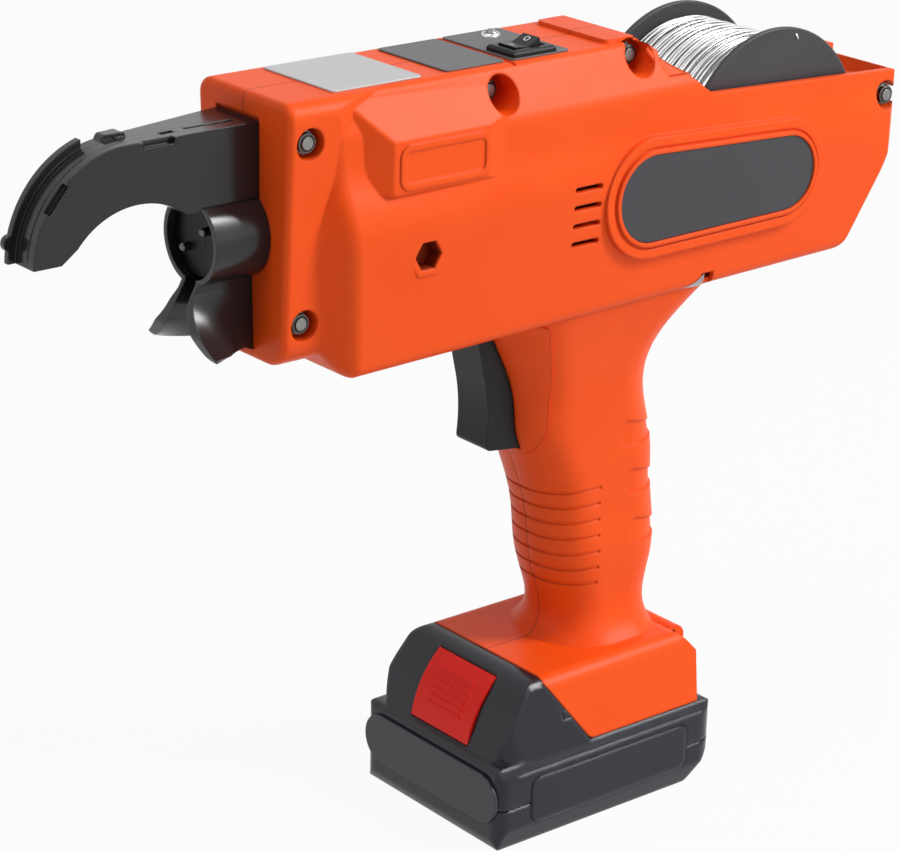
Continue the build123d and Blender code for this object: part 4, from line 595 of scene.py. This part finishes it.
def notch_leaf():
    """Thin steel leaf that comes out of the notch and tapers along the flank's lower edge."""
    along, across = 16, 6
    rings = []
    for i in range(along + 1):
        u = i / along
        x = LEAF_REAR + (LEAF_TIP - LEAF_REAR) * u
        top = LEAF_END + LEAF_TIP_HEIGHT + (LEAF_TOP - LEAF_END) * (1 - u) ** LEAF_TAPER
        low = LEAF_LOW + (LEAF_END - LEAF_LOW) * u
        heights = [low + (top - low) * j / across for j in range(across + 1)]
        outer = [(x, read_off(FLANK_OUT, z) + LEAF_PROUD, z) for z in heights]
        inner = [(x, read_off(FLANK_OUT, z) - LEAF_SUNK, z) for z in heights]
        rings.append(outer + inner[::-1])
    body = bmesh.new()
    lofted(body, rings)
    piece_of("notch_leaf", body, SPRING_STEEL, "tool")


# Arm: where its left cheek's edge begins (X), its top (Z), its left side and the joint between cheek and
# core (Y), the bend's centre (X, Z) and radius (mm).
ARM_ROOT, ARM_TOP = 125.5, 257.0
ARM_SIDE, ARM_JOINT = 7.8, 4.0
BEND_X, BEND_Z, BEND_R = 171.0, 224.2, 32.8
# Notch in the top edge: from and to (X), floor (Z), and the line into it, as way in from its end and height
# above its floor. Step cut in the bend: its turn from the top (degrees), half length and floor radius (mm).
NOTCH_FROM, NOTCH_TO, NOTCH_FLOOR = 155.0, 166.0, 255.0
NOTCH_LINE = [(-1.5, 2.0), (-0.2, 1.6), (0.0, 0.0), (0.3, 0.0)]
STEP_TURN, STEP_HALF, STEP_FLOOR = 50.0, 5.0, 30.8
STEP_SPOTS = (-1, -0.9, 0.9, 1)
# The beads' turns on the bend, from its top: before and after the step, and along the joint (degrees).
EDGE_BEFORE, EDGE_AFTER, JOINT_RUN = range(0, 40, 3), range(61, 89, 3), range(24, 87, 3)
# The bead's radius, and how far its middle lies inside the cheek's side (mm).
BEAD, BEAD_SUNK = 0.3, 0.1


def on_bend(degrees, radius):
    turn = math.radians(degrees)
    return BEND_X + radius * math.sin(turn), BEND_Z + radius * math.cos(turn)


def arm_beads():
    """Fine raised edge along the left cheek's outline and notches, and one along the joint on the bend."""
    edge = [(ARM_ROOT, ARM_TOP)]
    edge += [(NOTCH_FROM + x, NOTCH_FLOOR + rise) for x, rise in NOTCH_LINE]
    edge += [(NOTCH_TO - x, NOTCH_FLOOR + rise) for x, rise in NOTCH_LINE[::-1]]
    edge += [on_bend(turn, BEND_R) for turn in EDGE_BEFORE]
    middle_x, middle_z = on_bend(STEP_TURN, STEP_FLOOR)
    lean = math.radians(STEP_TURN)
    for share in STEP_SPOTS:
        reach = share * STEP_HALF
        edge.append((middle_x + reach * math.cos(lean), middle_z - reach * math.sin(lean)))
    edge += [on_bend(turn, BEND_R) for turn in EDGE_AFTER]
    joint = [on_bend(turn, BEND_R) for turn in JOINT_RUN]
    body = bmesh.new()
    for y, line in ((ARM_SIDE - BEAD_SUNK, edge), (ARM_JOINT, joint)):
        mesh = tube_mesh("arm_beads", [Vector((x, y, z)) * MM for x, z in line], BEAD * MM)
        body.from_mesh(mesh)
        bpy.data.meshes.remove(mesh)
    piece_of("arm_beads", body, BLACK_NYLON, "tool")


# Roof over the recess of the fourth bolt, on both sides: its axis (X, Z), how far it reaches along X, its
# span (Y), its underside's radius, its least thickness, its height above the hood, the hood's top (mm).
ROOF_X, ROOF_Z = -13.0, 260.3
ROOF_REACH = 4.9
ROOF_FROM, ROOF_TO = 11.0, 17.04
ROOF_UNDER, ROOF_THICK, ROOF_COVER = 5.45, 0.5, 0.03
HOOD_TOP = [(-20.0, 262.2), (-16.54, 265.0), (-14.96, 265.0), (-14.95, 266.2), (-6.0, 266.2)]
ROOF_STEPS = 14


def recess_roofs():
    """Thin roof that closes the hood's top over each bolt recess, level with it."""
    places = [ROOF_X + ROOF_REACH * step / ROOF_STEPS for step in range(-ROOF_STEPS, ROOF_STEPS + 1)]
    places = sorted(places + [x for x, _ in HOOD_TOP[1:-1]])
    tops = []
    unders = []
    for x in places:
        top = read_off(HOOD_TOP, x) + ROOF_COVER
        arch = ROOF_Z + math.sqrt(ROOF_UNDER**2 - (x - ROOF_X) ** 2)
        tops.append((x, top))
        unders.append((x, min(arch, top - ROOF_THICK)))
    profile = tops + unders[::-1]
    body = bmesh.new()
    for side in (-1, 1):
        lofted(body, [[(x, side * y, z) for x, z in profile] for y in (ROOF_FROM, ROOF_TO)])
    piece_of("recess_roofs", body, ORANGE_ROOF, "tool")


# Webs from the hood's leaning rear wall down to the flanks: where they begin and end (Y), the shoulder's
# height there and its fall per mm, the wall's foot (X, Z) and rise per mm (mm).
WEB_FROM, WEB_TO = 21.2, 26.4
SHOULDER_AT, SHOULDER_FALL = 263.2, 1.93
WALL_FOOT_X, WALL_FOOT_Z, WALL_RISE = -28.0, 243.8, 1.85
# How far the webs reach back and how that grows, their thickness, how deep their root goes into the wall
# and lies below the edge, and how far they lap over it (mm).
WEB_REACH, WEB_SWEEP, WEB_THICK = 9.2, 1.8, 1.8
WEB_ROOT, WEB_DIP, WEB_LAP = 1.0, 0.5, 0.1
WEB_STEPS = 14


def hood_webs():
    """Thin corners that draw the hood's rear edge on in one sweep to the side walls."""
    body = bmesh.new()
    for side in (-1, 1):
        rings = []
        for step in range(WEB_STEPS + 1):
            share = step / WEB_STEPS
            y = WEB_FROM + (WEB_TO - WEB_FROM) * share
            z = SHOULDER_AT - SHOULDER_FALL * (y - WEB_FROM)
            wall = WALL_FOOT_X + (z - WALL_FOOT_Z) / WALL_RISE
            root = wall + WEB_ROOT
            back = wall - WEB_REACH * share**WEB_SWEEP
            spots = [(root, z - WEB_DIP), (wall + WEB_LAP, z), (back, z)]
            spots += [(back - WEB_LAP, z - WEB_THICK), (root, z - WEB_THICK)]
            rings.append([(x, side * y, up) for x, up in spots])
        lofted(body, rings)
    piece_of("hood_webs", body, ORANGE_ABS, "tool")


# Stops at the front of the battery's rail grooves: side outline (X, Z) and groove depth (Y); the shell's
# half width at a height (Y, Z) and how much it narrows per mm (mm).
STOP_SIDE = [(14.75, 39.75), (18.55, 39.75), (18.55, 42.75), (17.05, 42.75)]
STOP_IN = 28.3
SHELL_HALF, SHELL_AT, SHELL_LEAN = 33.0, 40.0, 0.155


def shell_side(z):
    return SHELL_HALF - SHELL_LEAN * (z - SHELL_AT)


def rail_stops():
    """Wedges that close the grooves ahead of the foot's rails, level with the shell's sides."""
    body = bmesh.new()
    for side in (-1, 1):
        inner = [(x, side * STOP_IN, z) for x, z in STOP_SIDE]
        outer = [(x, side * shell_side(z), z) for x, z in STOP_SIDE]
        lofted(body, [inner, outer])
    piece_of("rail_stops", body, BATTERY_ABS, "battery")


wound_wire()
wire_end()
recess_roofs()
hood_webs()
rail_stops()
nut_inserts()
hex_hole_shade()
notch_leaf()
arm_beads()
coil_spring(
    "trigger_spring", "tool", base=(0, 0, 152), tip=(20, 0, 152),
    radius=2.4, wire=0.6, turns=9,
)
coil_spring(
    "latch_spring", "battery", base=(29.83, 0, 36.59), tip=(36.85, 0, 40.42),
    radius=2.2, wire=0.5, turns=6,
)
coil_spring(
    "pinch_spring", "tool", base=(-3, -6.6, 262.5), tip=(-3, -6.6, 256),
    radius=1.1, wire=0.4, turns=5,
)
rocker_marks()
lamp_bezel()

# Studio. Light levels: what the world gives the shaded sides, what camera, mirrors and lenses see of it,
# and what they see of the floor. The floor's half width, and the gap that keeps it off the battery (m).
AMBIENT = 0.16
SEEN_WHITE = 1.0
FLOOR_SEEN = 0.94
FLOOR_REACH = 30.0
FLOOR_DROP = 0.4 * MM
# Softboxes, all turned to the object's middle: place, width and height (m), power (W).
LAMPS = {
    "key_right": ((-0.3, 1.7, 0.8), 1.2, 1.2, 8),
    "top": ((0.9, 0.1, 1.8), 1.2, 1.0, 9),
    "sheen": ((-1.09, 0.99, 1.36), 0.4, 0.9, 30),
    "front_fill": ((1.7, -0.4, 0.6), 0.8, 1.0, 2.5),
}


def seen_directly(tree):
    """1 for camera, mirrored and transmitted rays, 0 for the light that falls on the object."""
    path = add(tree, "ShaderNodeLightPath").outputs
    larger = {"operation": "MAXIMUM"}
    straight = add(tree, "ShaderNodeMath", larger, i0=path["Is Camera Ray"], i1=path["Is Transmission Ray"])
    seen = add(tree, "ShaderNodeMath", larger, i0=straight.outputs[0], i1=path["Is Glossy Ray"])
    return seen.outputs[0]


def white_world():
    world = bpy.data.worlds.new("studio")
    world.use_nodes = True
    scene.world = world
    tree = world.node_tree
    level = add(tree, "ShaderNodeMapRange", Value=seen_directly(tree), To_Min=AMBIENT, To_Max=SEEN_WHITE)
    tree.links.new(level.outputs["Result"], tree.nodes["Background"].inputs["Strength"])
    tree.nodes["Background"].inputs["Color"].default_value = (1, 1, 1, 1)


def pale_floor():
    """Floor that reads as white paper and keeps a soft shadow."""
    mesh = bpy.data.meshes.new("studio_floor")
    corners = [(FLOOR_REACH * x, FLOOR_REACH * y, 0) for x, y in ((-1, -1), (1, -1), (1, 1), (-1, 1))]
    mesh.from_pydata(corners, [], [(0, 1, 2, 3)])
    floor = bpy.data.objects.new("studio_floor", mesh)
    floor.location.z = -FLOOR_DROP
    scene.collection.objects.link(floor)
    material, tree, shader, _ = start("white_paper_sweep")
    shade(shader, Base_Color=linear("#D0D0D0"), Roughness=0.9)
    share = add(tree, "ShaderNodeMapRange", Value=seen_directly(tree), To_Max=FLOOR_SEEN).outputs["Result"]
    glow = add(tree, "ShaderNodeEmission", Color=(1, 1, 1, 1), Strength=1.0)
    mix = add(tree, "ShaderNodeMixShader", i0=share, i1=shader.outputs[0], i2=glow.outputs[0])
    tree.links.new(mix.outputs[0], tree.nodes["Material Output"].inputs["Surface"])
    mesh.materials.append(material)


def softbox(name, place, width, height, power):
    data = bpy.data.lights.new(name, "AREA")
    data.shape = "RECTANGLE"
    data.size = width
    data.size_y = height
    data.energy = power
    lamp = bpy.data.objects.new(name, data)
    lamp.location = place
    middle = (cad_low + cad_high) / 2
    lamp.rotation_euler = (middle - Vector(place)).to_track_quat("-Z", "Y").to_euler()
    scene.collection.objects.link(lamp)


# Camera at the photograph's own place, nearest sight (m), angles (degrees), lens and sensor (mm).
CAMERA_PLACE = (0.6343, 0.7200, 0.4918)
CAMERA_NEAR = 0.05
CAMERA_TURN, CAMERA_RISE, CAMERA_ROLL = 50.62, 20.66, 1.25
CAMERA_LENS, CAMERA_SENSOR = 121.8, 36


def photo_camera():
    turn, rise, roll = (math.radians(x) for x in (CAMERA_TURN, CAMERA_RISE, CAMERA_ROLL))
    back = Vector((math.cos(turn) * math.cos(rise), math.sin(turn) * math.cos(rise), math.sin(rise)))
    right = Vector((-math.sin(turn), math.cos(turn), 0))
    up = back.cross(right)
    across = right * math.cos(roll) + up * math.sin(roll)
    upright = up * math.cos(roll) - right * math.sin(roll)
    data = bpy.data.cameras.new("photo_camera")
    data.lens = CAMERA_LENS
    data.sensor_width = CAMERA_SENSOR
    data.clip_start = CAMERA_NEAR
    camera = bpy.data.objects.new("photo_camera", data)
    facing = Matrix((across, upright, back)).transposed().to_4x4()
    camera.matrix_world = Matrix.Translation(CAMERA_PLACE) @ facing
    scene.collection.objects.link(camera)
    scene.camera = camera


scene.view_settings.view_transform = "Standard"
white_world()
pale_floor()
for name, (place, width, height, power) in LAMPS.items():
    softbox(name, place, width, height, power)
photo_camera()
